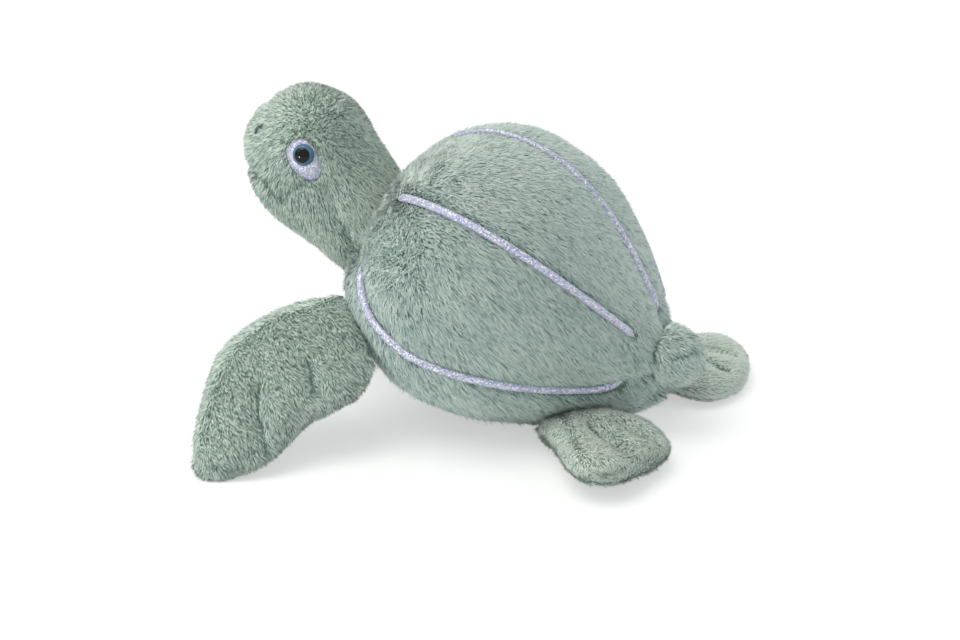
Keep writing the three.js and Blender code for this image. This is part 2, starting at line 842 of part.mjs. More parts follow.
function addFace(side, word) {
  const place = eyePlacement(side);
  add(`${word}_eye_patch`, cut(eyePatch(side), eyeHole(side)), glitterCloth());
  add(`${word}_eye`, turned(irisProfile()).applyMatrix4(place), plastic(colours.iris));
  add(`${word}_eye_pupil`, turned(pupilProfile()).applyMatrix4(place), plastic(colours.pupil));
  add(`${word}_eye_washer`, turned(washerProfile()).applyMatrix4(place), plastic(colours.washer));
  add(`${word}_nostril`, nostril(side), cloth(colours.thread));
}

function addTail() {
  const bodyRoom = bodyForm(-looseFit);
  const skin = cut(tailForm(0), tailForm(clothThick), bodyRoom);
  add('tail_panel', skin, cloth(colours.pile));
  add('tail_stuffing', cut(tailForm(clothThick + looseFit), bodyRoom), cloth(colours.stuffing));
}

function addFlipper(kind, side, word) {
  const basis = settledBasis(kind, word);
  const place = (geometry) => geometry.applyMatrix4(basis);
  const name = `${kind.name}_${word}_flipper`;
  const upper = place(flipperSkin(kind, -1));
  const lower = cut(place(flipperSkin(kind, 1)), floorBlock());
  const stuffing = place(flipperStuffing(kind));
  add(`${name}_upper_panel`, onSide(upper, side), cloth(colours.pile));
  add(`${name}_lower_panel`, onSide(lower, side), cloth(colours.pileDark));
  add(`${name}_stuffing`, onSide(stuffing, side), cloth(colours.stuffing));
}

const sides = [
  [1, 'left'],
  [-1, 'right'],
];

addBody();
addPiping();
addHead();
sides.forEach(([side, word]) => addFace(side, word));
addTail();
[frontFlipper, rearFlipper].forEach((kind) => {
  sides.forEach(([side, word]) => addFlipper(kind, side, word));
});

// The toy stands centred over the origin
const box = new THREE.Box3().setFromObject(turtle);
const middle = box.getCenter(new THREE.Vector3());
turtle.position.set(-middle.x, -middle.y, 0);

export default turtle;
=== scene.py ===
"""A plush sea turtle: short green pile over stuffed cloth bags, glitter piping, glossy eyes."""

import json
import math

import bmesh
import bpy
import numpy as np
from mathutils import Matrix, Vector
from mathutils.kdtree import KDTree

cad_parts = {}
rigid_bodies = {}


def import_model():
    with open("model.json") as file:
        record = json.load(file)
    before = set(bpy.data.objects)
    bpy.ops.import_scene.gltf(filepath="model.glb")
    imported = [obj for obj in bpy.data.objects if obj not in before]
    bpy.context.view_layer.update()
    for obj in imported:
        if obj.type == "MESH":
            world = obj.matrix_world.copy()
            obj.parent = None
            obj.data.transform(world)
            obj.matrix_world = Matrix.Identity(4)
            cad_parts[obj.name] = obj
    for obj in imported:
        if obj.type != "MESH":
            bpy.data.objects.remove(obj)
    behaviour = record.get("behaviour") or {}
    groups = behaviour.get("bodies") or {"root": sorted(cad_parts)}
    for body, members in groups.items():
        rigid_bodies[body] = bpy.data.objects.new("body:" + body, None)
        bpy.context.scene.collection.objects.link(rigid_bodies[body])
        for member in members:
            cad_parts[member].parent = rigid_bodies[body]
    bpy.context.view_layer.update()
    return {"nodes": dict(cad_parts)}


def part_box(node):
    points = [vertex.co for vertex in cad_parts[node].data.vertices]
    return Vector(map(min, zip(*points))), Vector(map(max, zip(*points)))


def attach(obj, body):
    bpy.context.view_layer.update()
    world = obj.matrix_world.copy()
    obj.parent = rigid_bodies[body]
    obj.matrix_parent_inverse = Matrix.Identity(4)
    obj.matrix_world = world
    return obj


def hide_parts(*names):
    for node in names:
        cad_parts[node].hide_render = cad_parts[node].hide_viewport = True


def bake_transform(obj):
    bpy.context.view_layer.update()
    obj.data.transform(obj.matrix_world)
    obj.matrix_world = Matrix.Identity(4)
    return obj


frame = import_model()

MM = 0.001

# Sizes in millimetres and turns in degrees, the same as the part's
CLOTH_THICK = 2.6
LOOSE_FIT = 0.3
FLOOR_CUT = 0.5
BODY_LENGTH, BODY_WIDTH, CROWN_HEIGHT, BELLY_DEPTH = 193, 188, 85.5, 72.5
BODY_PITCH = 20
FRONT_BLUNT, SHOULDER = 0.48, 0.025
SIDE_SWELL, CROWN_SWELL, BELLY_SWELL = (0.93, -0.346), (0.845, -0.413), (0.304, -0.237)
MIDDLE_SEAM, LOWER_SEAM = 47.4, 103
LOWER_SEAM_RISE = [
    (0, 0.815), (0.11, 0.825), (0.167, 0.86), (0.222, 0.942), (0.278, 0.986), (0.39, 1.015), (0.56, 1),
    (0.72, 0.998), (0.78, 0.985), (0.833, 0.927), (0.89, 0.903), (1, 0.893),
]
PIPING_WIDTH = 4.5
HEAD_LENGTH, HEAD_DEPTH, HEAD_WIDTH = 112, 90, 76
HEAD_REACH, NECK_DROP, HEAD_TILT = 94, 5.6, 46.4
SNOUT_TAPER = 0.19
HEAD_OUTLINE = [
    (0.02, 0.02, 0), (-0.13, 0.18, 0.11), (-0.25, 0.295, 0.22), (-0.345, 0.38, 0.325),
    (-0.41, 0.415, 0.41), (-0.452, 0.468, 0.475), (-0.455, 0.522, 0.5), (-0.43, 0.515, 0.49),
    (-0.4, 0.458, 0.46), (-0.37, 0.4, 0.43), (-0.33, 0.34, 0.4),
]
HEAD_SEAM = [
    (0.44, 1), (0.46, 0.86), (0.48, 0.77), (0.51, 0.67), (0.55, 0.585), (0.6, 0.51), (0.66, 0.465),
    (0.74, 0.44), (0.83, 0.46), (0.92, 0.525), (1, 0.56),
]
EYE_ALONG, EYE_TURN = 0.592, 0.37 * 180
EYE_WIDTH, EYE_HEIGHT, PUPIL_WIDTH, PATCH_THICK = 12.4, 5, 8.9, 0.8
# Round the eye: turn from backwards to downwards, and how far the glitter patch is seen
PATCH_OUTLINE = [
    (2, 13.3), (21, 13.2), (38, 12.7), (62.5, 11.2), (88.5, 11.2), (108.8, 11.4), (131.7, 13.2),
    (150.4, 12.5), (175.1, 10.6), (206, 9.0), (237.5, 7.8), (271.6, 7.1), (309, 8.1), (331, 10.7),
    (346, 12.4), (362, 13.3),
]
NOSTRIL_ALONG, NOSTRIL_TURN, NOSTRIL_ARC, NOSTRIL_SWEEP = 0.317, 0.535 * 180, 3.2, 150
SWIRL_ALONG, SWIRL_TURN = 0.38, 0.2 * 180
TAIL_HALF = np.array([17.0, 20.0, 18.0])
TAIL_BACK, TAIL_DROP = 0.84 * BODY_LENGTH / 2, 0.3 * BELLY_DEPTH
ROOT_THICK, ROOT_EDGE, THICKEN = 6.4, 0.15, 0.42
# Comb is over span and chord. Trim is how fast the pile grows away from the quilting, and from what; it also
# sets the painted shade along the quilting.
FRONT_FLIPPER = {
    "name": "front",
    "span": 111,
    "chord": 77,
    "thick": 26,
    "along": 45,
    "around": {"left": 122, "right": 122},
    "inset": 1.4,
    "pinch": 0.3,
    "comb": (-0.15, -1.0),
    "density": 3.8,
    "lay": (4.4, 20, 0.45),
    "trim": {"left": (2.4, -0.7), "right": (2.4, -0.7)},
    "outline": [
        (0, 0.32, -0.33), (0.012, 0.326, -0.35), (0.04, 0.34, -0.4), (0.13, 0.375, -0.51),
        (0.26, 0.41, -0.545), (0.41, 0.4, -0.56), (0.54, 0.365, -0.65), (0.67, 0.28, -0.715),
        (0.785, 0.095, -0.725), (0.89, -0.14, -0.705), (0.955, -0.32, -0.67), (0.99, -0.45, -0.61),
        (1, -0.53, -0.53),
    ],
}
REAR_FLIPPER = {
    "name": "rear",
    "span": 88,
    "chord": 57,
    "thick": 23,
    "along": 121,
    "around": {"left": 143, "right": 126},
    "inset": 3.0,
    "pinch": 0.58,
    "comb": (1.0, -0.3),
    "density": 3.4,
    "lay": (4.4, 17, 0.12),
    "trim": {"left": (2.6, -1.2), "right": (2.4, 0.2)},
    "outline": [
        (0, 0.4, -0.44), (0.015, 0.392, -0.47), (0.05, 0.37, -0.53), (0.18, 0.29, -0.77),
        (0.33, 0.23, -0.96), (0.49, 0.2, -0.985), (0.64, 0.19, -0.9), (0.77, 0.175, -0.76),
        (0.87, 0.14, -0.61), (0.95, 0.07, -0.46), (0.985, 0, -0.35), (1, -0.16, -0.16),
    ],
}

# How the cloth and its pile lie, in millimetres
SKIN_INSET = 3.6
SKIN_THICK = 1.2
SKIN_SWELL = 1.8
FILLING_INSET = 2.4
BODY_REST, FLIPPER_REST = 1.4, 1.2
STUFFING_PRESSURE, STUFFING_FRAMES, EVENING_ROUNDS = 4, 20, 6
SAG = np.array([0, 0.25, -0.75])


# ---------------------------------------------------------------- forms
def unit(v):
    return v / np.maximum(np.linalg.norm(v, axis=-1, keepdims=True), 1e-9)


def smooth(low, high, value):
    """From 0 at low to 1 at high, without a kink."""
    t = np.clip((value - low) / (high - low), 0, 1)
    return t * t * (3 - 2 * t)


def bell(value, width, other=0.0, reach=1.0):
    """1 at zero, falling off over about the width, and over the reach for another value."""
    return np.exp(-((value / width) ** 2) - (other / reach) ** 2)


def pitched(turn):
    a = math.radians(turn)
    return np.array([0, math.cos(a), -math.sin(a)]), np.array([0, math.sin(a), math.cos(a)])


def through(rows, share):
    """The smooth curve through evenly spaced rows."""
    rows = np.asarray(rows, float)
    last = len(rows) - 1
    rows = np.vstack([2 * rows[0] - rows[1], rows, 2 * rows[-1] - rows[-2]])
    place = np.clip(share, 0, 1) * last
    k = np.minimum(place.astype(int), last - 1)
    w = (place - k)[..., None]
    a, b, c, d = (rows[k + i] for i in range(4))
    s, e = (c - a) / 2, (d - b) / 2
    return b + s * w + (3 * (c - b) - 2 * s - e) * w**2 + (2 * (b - c) + s + e) * w**3


BODY_AXIS, BODY_UP = pitched(BODY_PITCH)
HEAD_AXIS, HEAD_BACK = pitched(HEAD_TILT)
HEAD_FRONT = -HEAD_BACK
SIDEWAYS = np.array([1.0, 0, 0])


def swell(way, shape):
    blunt, lean = shape

    def height(t):
        share = (t + 1) / 2
        power = FRONT_BLUNT + (blunt - FRONT_BLUNT) * share * share * (3 - 2 * share)
        return np.maximum(1 - t * t, 0) ** power * (1 + lean * t)

    return height(way) / height(np.linspace(-1, 1, 61)).max()


def body_reaches(way, inset):
    crown = (CROWN_HEIGHT - inset) * swell(way, CROWN_SWELL)
    belly = (BELLY_DEPTH - inset) * swell(way, BELLY_SWELL)
    return crown, belly, (BODY_WIDTH / 2 - inset) * swell(way, SIDE_SWELL)


def body_offset(along, around, inset=0):
    way = -np.cos(np.radians(along)) + 0 * around
    turn = np.radians(around) + 0 * along
    crown, belly, side = body_reaches(way, inset)
    upper = np.cos(turn) > 0
    shoulder = np.where(upper, 1 + SHOULDER * np.sin(2 * turn) ** 2, 1)
    rise = np.where(upper, crown, belly) * shoulder * np.cos(turn)
    reach = side * shoulder * np.sin(turn)
    length = (BODY_LENGTH / 2 - inset) * way
    return length[..., None] * BODY_AXIS + rise[..., None] * BODY_UP + reach[..., None] * SIDEWAYS


def cad_shift():
    """The part stands centred over the origin: how far that moved it along y."""
    low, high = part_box("body_stuffing")
    along, around = np.meshgrid(np.linspace(0, 180, 361), np.linspace(0, 360, 181))
    form = body_offset(along, around, CLOTH_THICK + 0.4)[..., 1]
    return ((low.y + high.y) / MM - form.min() - form.max()) / 2


_deep = body_offset(*np.meshgrid(np.linspace(0, 180, 61), np.linspace(132.6, 180, 11)))[..., 2]
BODY_CENTRE = np.array([0, cad_shift(), -_deep.min() - FLOOR_CUT])


def body_point(along, around, inset=0):
    along, around = np.asarray(along, float), np.asarray(around, float)
    return BODY_CENTRE + body_offset(along, around, inset)


def body_place(points, inset=0):
    """Way along, turn from the ridge, and level (1 on the surface) of points."""
    q = points - BODY_CENTRE
    way = np.clip(q @ BODY_AXIS / (BODY_LENGTH / 2 - inset), -0.9999, 0.9999)
    crown, belly, side = body_reaches(way, inset)
    rise, reach = q @ BODY_UP, q[..., 0] / side
    rise = np.where(rise > 0, rise / crown, rise / belly)
    turn = np.arctan2(reach, rise)
    shoulder = np.where(rise > 0, 1 + SHOULDER * np.sin(2 * turn) ** 2, 1)
    outside = np.abs(q @ BODY_AXIS) > BODY_LENGTH / 2 - inset
    level = np.hypot(rise, reach) / shoulder + 9 * outside
    return np.degrees(np.arccos(-way)), np.degrees(turn), level


def surface_frame(point, along, around, step, turn_step=1.0):
    forward = point(along + step, around) - point(along - step, around)
    across = point(along, around + turn_step) - point(along, around - turn_step)
    return {
        "place": point(along, around),
        "normal": unit(np.cross(across, forward)),
        "forward": unit(forward),
        "across": unit(across),
        "along_rate": np.linalg.norm(forward, axis=-1) / (2 * step),
        "around_rate": np.linalg.norm(across, axis=-1) / (2 * turn_step),
    }


HEAD_CROWN = body_point(0, 0) + HEAD_FRONT * NECK_DROP - HEAD_AXIS * HEAD_REACH


def head_point(root, around, inset=0):
    root, around = np.broadcast_arrays(np.asarray(root, float), np.asarray(around, float))
    row = through(HEAD_OUTLINE, root)
    shrink = 1 - 2 * inset / HEAD_WIDTH
    turn = np.radians(around)
    middle = (row[..., 0] + row[..., 1]) / 2 * HEAD_DEPTH
    rise = (row[..., 1] - row[..., 0]) / 2 * HEAD_DEPTH * shrink
    taper = SNOUT_TAPER * np.maximum(1 - root, 0) * (1 - np.cos(turn))
    reach = row[..., 2] * HEAD_WIDTH * shrink * (1 - taper)
    down = inset + root * root * (HEAD_LENGTH - inset)
    front = middle - rise * np.cos(turn)
    side = reach * np.sin(turn)
    place = HEAD_CROWN + down[..., None] * HEAD_AXIS
    return place + front[..., None] * HEAD_FRONT + side[..., None] * SIDEWAYS


def head_place(points, inset=0):
    """Root of the way along, turn from the nape, and level of points."""
    q = points - HEAD_CROWN
    root = np.sqrt(np.clip((q @ HEAD_AXIS - inset) / (HEAD_LENGTH - inset), 1e-6, 1))
    row = through(HEAD_OUTLINE, root)
    shrink = 1 - 2 * inset / HEAD_WIDTH
    rise = np.maximum((row[..., 1] - row[..., 0]) / 2 * HEAD_DEPTH * shrink, 1e-3)
    back = ((row[..., 0] + row[..., 1]) / 2 * HEAD_DEPTH - q @ HEAD_FRONT) / rise
    wide = np.maximum(row[..., 2] * HEAD_WIDTH * shrink, 1e-3)
    side = q[..., 0] / wide
    for _ in range(2):
        cosine = back / np.maximum(np.hypot(back, side), 1e-6)
        side = q[..., 0] / (wide * (1 - SNOUT_TAPER * np.maximum(1 - root, 0) * (1 - cosine)))
    outside = (q @ HEAD_AXIS < inset) | (q @ HEAD_AXIS > HEAD_LENGTH)
    return root, np.degrees(np.arctan2(side, back)), np.hypot(back, side) + 9 * outside


def head_seam_turn(root):
    roots, turns = zip(*HEAD_SEAM)
    return 180 * np.interp(root, roots, turns)


TAIL_CENTRE = BODY_CENTRE + np.array([0, TAIL_BACK, -TAIL_DROP])


def tail_point(share, turn, inset=0):
    a, b = np.pi * share, np.radians(turn)
    ball = np.stack([np.sin(a) * np.sin(b), -np.cos(a), np.sin(a) * np.cos(b)], -1)
    return TAIL_CENTRE + ball * (TAIL_HALF - inset)


def tail_level(points, inset=0):
    return np.linalg.norm((points - TAIL_CENTRE) / (TAIL_HALF - inset), axis=-1)


def flipper_local(kind, row, turn, inset):
    """In the flipper's own frame: x from the seam to the tip, y to the front, z down."""
    row, turn = np.broadcast_arrays(np.asarray(row, float), np.asarray(turn, float))
    shares = through(kind["outline"], row)
    x, front, rear = shares[..., 0], shares[..., 1], shares[..., 2]
    root_half, full = ROOT_THICK / 2, kind["thick"] / 2
    grow = smooth(0, THICKEN, x)
    edge = 1 - np.minimum(x * kind["span"], root_half) / root_half
    pinch = np.sqrt(np.maximum(1 - edge * edge, ROOT_EDGE))
    tip = np.sqrt(np.maximum(1 - np.maximum(x, 0) ** 3, 0))
    half = (root_half * pinch + (full - root_half) * grow) * tip * (1 - inset / full)
    middle = (front + rear) / 2 * kind["chord"]
    reach = (front - rear) / 2 * kind["chord"] * (1 - 2 * inset / kind["chord"])
    angle = np.radians(turn)
    out = x * (kind["span"] - inset) - root_half
    return np.stack([out, middle + reach * np.cos(angle), half * np.sin(angle)], -1)


def flipper_basis(kind, word):
    """Where a flipper is sewn on, and how it hangs so that it just reaches the floor."""
    root = surface_frame(body_point, kind["along"], kind["around"][word], 1.0)
    outward = root["normal"] * (1 if root["normal"][0] > 0 else -1)
    line = -root["forward"]
    hinge = root["place"] + outward * (LOOSE_FIT + ROOT_THICK / 2)
    rows, turns = np.meshgrid(np.linspace(0, 1, len(kind["outline"])), np.arange(21) * 18)
    local = flipper_local(kind, rows, turns, 0)

    def basis(hang):
        span = outward * math.cos(hang) + np.cross(line, outward) * math.sin(hang)
        return np.stack([span, line, np.cross(span, line)])

    level = math.atan2(-outward[2], np.cross(line, outward)[2])
    low, high = level - math.pi / 4, level + math.pi / 4
    for _ in range(24):
        middle = (low + high) / 2
        lowest = (hinge + local @ basis(middle))[..., 2].min()
        low, high = (middle, high) if lowest < -FLOOR_CUT else (low, middle)
    return hinge, basis(high)


def flipper_placed(points, pose, side):
    hinge, basis = pose
    placed = hinge + points @ basis
    placed[..., 0] *= side
    return placed


# ---------------------------------------------------------------- noise
def drift(points, cell, seed, channels=1):
    """Smooth noise from -1 to 1 that changes over about one cell."""
    rng = np.random.default_rng(seed)
    lattice = rng.uniform(-1, 1, (32, 32, 32, channels))
    q = points / cell + 100
    base = np.floor(q).astype(int)
    f = q - base
    f = f * f * (3 - 2 * f)
    total = np.zeros((len(points), channels))
    for corner in np.ndindex(2, 2, 2):
        c = np.array(corner)
        weight = np.prod(np.where(c == 1, f, 1 - f), axis=-1)
        i, j, k = ((base + c) % 32).T
        total += weight[:, None] * lattice[i, j, k]
    return total if channels > 1 else total[:, 0]


def along_line(corners, count=80):
    """Points evenly spread along a line through some corners."""
    corners = np.asarray(corners, float)
    run = np.concatenate([[0], np.cumsum(np.linalg.norm(np.diff(corners, axis=0), axis=-1))])
    way = np.linspace(0, run[-1], count)
    return np.stack([np.interp(way, run, corners[:, i]) for i in range(corners.shape[1])], -1)


def both_sides(line):
    return np.vstack([line, line * np.array([-1, 1, 1])])


def on_left(points):
    """Points brought over to the left side."""
    return np.stack([np.abs(points[:, 0]), points[:, 1], points[:, 2]], -1)


def near(points, line):
    """Distance of each point to the nearest point of a line."""
    tree = KDTree(len(line))
    for k, place in enumerate(line):
        tree.insert(place, k)
    tree.balance()
    return np.array([tree.find(point)[2] for point in points])


# ---------------------------------------------------------------- finishes
def srgb(red, green, blue):
    def linear(c):
        c = c / 255
        return c / 12.92 if c <= 0.04045 else ((c + 0.055) / 1.055) ** 2.4

    return (linear(red), linear(green), linear(blue), 1.0)


class Value:
    """A number in a material, written in Python's own operators."""

    def __init__(self, finish, socket):
        self.finish, self.socket = finish, socket

    def math(self, operation, first, second=0.0):
        made = self.finish.node("ShaderNodeMath", {"operation": operation}, {0: first, 1: second})
        return Value(self.finish, made.outputs[0])

    def __add__(self, other):
        return self.math("ADD", self, other)

    __radd__ = __add__

    def __mul__(self, other):
        return self.math("MULTIPLY", self, other)

    __rmul__ = __mul__

    def __pow__(self, other):
        return self.math("POWER", self, other)


class Nodes:
    """The nodes of one material or of the world."""

    def __init__(self, owner):
        owner.use_nodes = True
        self.tree = owner.node_tree
        self.tree.nodes.clear()

    def node(self, kind, settings=None, sockets=None):
        made = self.tree.nodes.new(kind)
        for key, value in (settings or {}).items():
            if key == "stops":
                self.stops(made.color_ramp, value)
            elif key == "interpolation":
                made.color_ramp.interpolation = value
            else:
                setattr(made, key, value)
        for key, value in (sockets or {}).items():
            if isinstance(value, Value):
                value = value.socket
            if isinstance(value, bpy.types.NodeSocket):
                self.tree.links.new(value, made.inputs[key])
            else:
                made.inputs[key].default_value = value
        return made

    def stops(self, ramp, stops):
        while len(ramp.elements) < len(stops):
            ramp.elements.new(1.0)
        for element, (place, colour) in zip(ramp.elements, stops):
            element.position = place
            element.color = colour

    def value(self, socket):
        return Value(self, socket)


class Finish(Nodes):
    """One material."""

    def __init__(self, name):
        self.material = bpy.data.materials.new(name)
        super().__init__(self.material)

    def objects(self):
        return self.node("ShaderNodeTexCoord").outputs["Object"]

    def noise(self, scale, detail=2.0):
        sockets = {"Vector": self.objects(), "Scale": scale, "Detail": detail}
        return self.value(self.node("ShaderNodeTexNoise", None, sockets).outputs[0])

    def ramp(self, factor, stops, interpolation="LINEAR"):
        settings = {"stops": stops, "interpolation": interpolation}
        return self.node("ShaderNodeValToRGB", settings, {0: factor}).outputs[0]

    def mix(self, factor, first, second):
        return self.node("ShaderNodeMix", {"data_type": "RGBA"}, {0: factor, 6: first, 7: second}).outputs[2]

    def bump(self, height, distance, strength=1.0):
        sockets = {"Height": height, "Distance": distance, "Strength": strength}
        return self.node("ShaderNodeBump", None, sockets).outputs[0]

    def shader(self, **sockets):
        named = {key.replace("_", " ").title().replace("Ior", "IOR"): v for key, v in sockets.items()}
        shader = self.node("ShaderNodeBsdfPrincipled", None, named)
        self.node("ShaderNodeOutputMaterial", None, {0: shader.outputs[0]})
        return self.material


def pile_finish(name, warmth):
    """Short pile, darker at its roots, which is painted shade between the strands; warmth takes some blue out
    of it.
    """
    finish = Finish(name)

    def shade(red, green, blue):
        return srgb(red + warmth / 3, green, blue - warmth)

    place = finish.node("ShaderNodeUVMap", {"uv_map": "OFBake"}).outputs[0]
    parts = finish.node("ShaderNodeSeparateXYZ", None, {0: place})
    tint, way = finish.value(parts.outputs[0]), finish.value(parts.outputs[1])
    # The dark low ends of these ramps carry the painted shade at seams and creases.
    tips = [(0.0, shade(90, 110, 104)), (0.22, shade(158, 184, 178)), (0.55, shade(210, 231, 223))]
    roots = [(0.0, shade(54, 70, 66)), (0.22, shade(114, 138, 132)), (1.0, shade(180, 202, 194))]
    tips = finish.ramp(tint, tips + [(1.0, shade(246, 253, 246))])
    colour = finish.mix(way**0.55, finish.ramp(tint, roots), tips)
    return finish.shader(base_color=colour, roughness=0.8, specular_ior_level=0.2, sheen_weight=0.1)


# Share from which each flake's colour holds, up to the next
GLITTER_FLAKES = [
    (0.0, (120, 124, 160)), (0.16, (148, 156, 182)), (0.38, (180, 184, 200)), (0.6, (206, 206, 213)),
    (0.76, (112, 128, 200)), (0.82, (250, 248, 246)), (0.93, (240, 200, 160)), (0.965, (206, 160, 214)),
]


def grained(name, scale, detail, dark, pale, rough, uneven=0.0, bump=0.0, stops=(0.3, 0.7), shine=0.5):
    """A plain material whose fine grain shows in its colour and in its gloss or its relief."""
    finish = Finish(name)
    grain = finish.noise(scale, detail)
    colour = finish.ramp(grain, [(stops[0], srgb(*dark)), (stops[1], srgb(*pale))])
    if uneven:
        rough = rough + uneven * grain
    relief = {"normal": finish.bump(grain, bump)} if bump else {}
    return finish.shader(base_color=colour, roughness=rough, specular_ior_level=shine, **relief)


def glitter_finish():
    finish = Finish("glitter_cloth")
    place = finish.objects()
    cells = finish.node("ShaderNodeTexVoronoi", None, {"Vector": place, "Scale": 1650.0})
    parts = finish.node("ShaderNodeSeparateColor", None, {0: cells.outputs["Color"]})
    pick = finish.value(parts.outputs[0])
    flakes = finish.ramp(pick, [(place, srgb(*tone)) for place, tone in GLITTER_FLAKES], "CONSTANT")
    broad = finish.noise(240.0, 2.0)
    colour = finish.mix(0.12 + 0.2 * broad, flakes, srgb(186, 188, 206))
    facets = finish.value(parts.outputs[1]) * 0.6 + finish.value(cells.outputs["Distance"]) * 0.4
    rough = 0.26 + 0.3 * finish.value(parts.outputs[2])
    relief = finish.bump(facets, 0.0003, 0.5)
    return finish.shader(base_color=colour, roughness=rough, metallic=0.25, normal=relief)


def thread_finish():
    finish = Finish("satin_thread")
    place = finish.node("ShaderNodeUVMap", {"uv_map": "lay"}).outputs[0]
    parts = finish.node("ShaderNodeSeparateXYZ", None, {0: place})
    along, round_it = finish.value(parts.outputs[1]), finish.value(parts.outputs[0])
    turns = along.math("SINE", along * 260.0 + round_it * 6.0) * 0.5 + 0.5
    colour = finish.ramp(turns, [(0.1, srgb(30, 48, 56)), (0.8, srgb(66, 92, 104))])
    return finish.shader(base_color=colour, roughness=0.45, normal=finish.bump(turns, 0.0002))


def paper_finish():
    """White paper that takes the shadow; to the camera it also glows evenly, which lightens that shadow."""
    finish = Finish("white_paper")
    sockets = {"Base Color": (0.97, 0.97, 0.97, 1), "Roughness": 0.9, "Specular IOR Level": 0.1}
    paper = finish.node("ShaderNodeBsdfPrincipled", None, sockets)
    glow = finish.node("ShaderNodeEmission", None, {0: (1, 1, 1, 1), 1: 1.0})
    seen = finish.value(finish.node("ShaderNodeLightPath").outputs["Is Camera Ray"])
    both = finish.node("ShaderNodeMixShader", None, {0: seen * 0.52, 1: paper.outputs[0], 2: glow.outputs[0]})
    finish.node("ShaderNodeOutputMaterial", None, {0: both.outputs[0]})
    return finish.material


FINISHES = {
    "shell_pile": pile_finish("shell_pile", 0),
    "limb_pile": pile_finish("limb_pile", 5),
    # The pile's backing is dark partly in its own colour and partly as painted shade in the gaps between the
    # strands.
    "backing": grained("pile_backing", 900.0, 3.0, (76, 94, 88), (112, 134, 125), 0.95, bump=0.0006),
    "glitter": glitter_finish(),
    "iris": grained("eye_iris", 1400.0, 3.0, (54, 84, 108), (84, 120, 146), 0.14, 0.08, 0, (0.25, 0.75), 0.3),
    "pupil": grained("eye_pupil", 700.0, 2.0, (5, 6, 8), (12, 14, 17), 0.04, 0.04, 0, (0.3, 0.8), 0.28),
    "thread": thread_finish(),
    "filling": grained("fibre_fill", 240.0, 6.0, (222, 221, 214), (250, 249, 245), 0.95, bump=0.0015),
    "cotton": grained("piping_cord", 1100.0, 4.0, (206, 203, 195), (238, 236, 229), 0.9, bump=0.0004),
    "washer": grained("eye_washer", 900.0, 2.0, (208, 208, 208), (228, 228, 228), 0.35, 0.1),
}


# ---------------------------------------------------------------- pieces
def piece(name, mesh, finish, slot, nodes=()):
    """A finished mesh as an object of the toy."""
    made = bpy.data.objects.new(name, mesh)
    bpy.context.scene.collection.objects.link(made)
    mesh.materials.append(FINISHES[finish])
    if nodes:
        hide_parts(*nodes)
    return made


def on_body(*made):
    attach(piece(*made), "turtle")


def mesh_of(shape, name):
    mesh = bpy.data.meshes.new(name)
    shape.to_mesh(mesh)
    shape.free()
    mesh.shade_smooth()
    return mesh


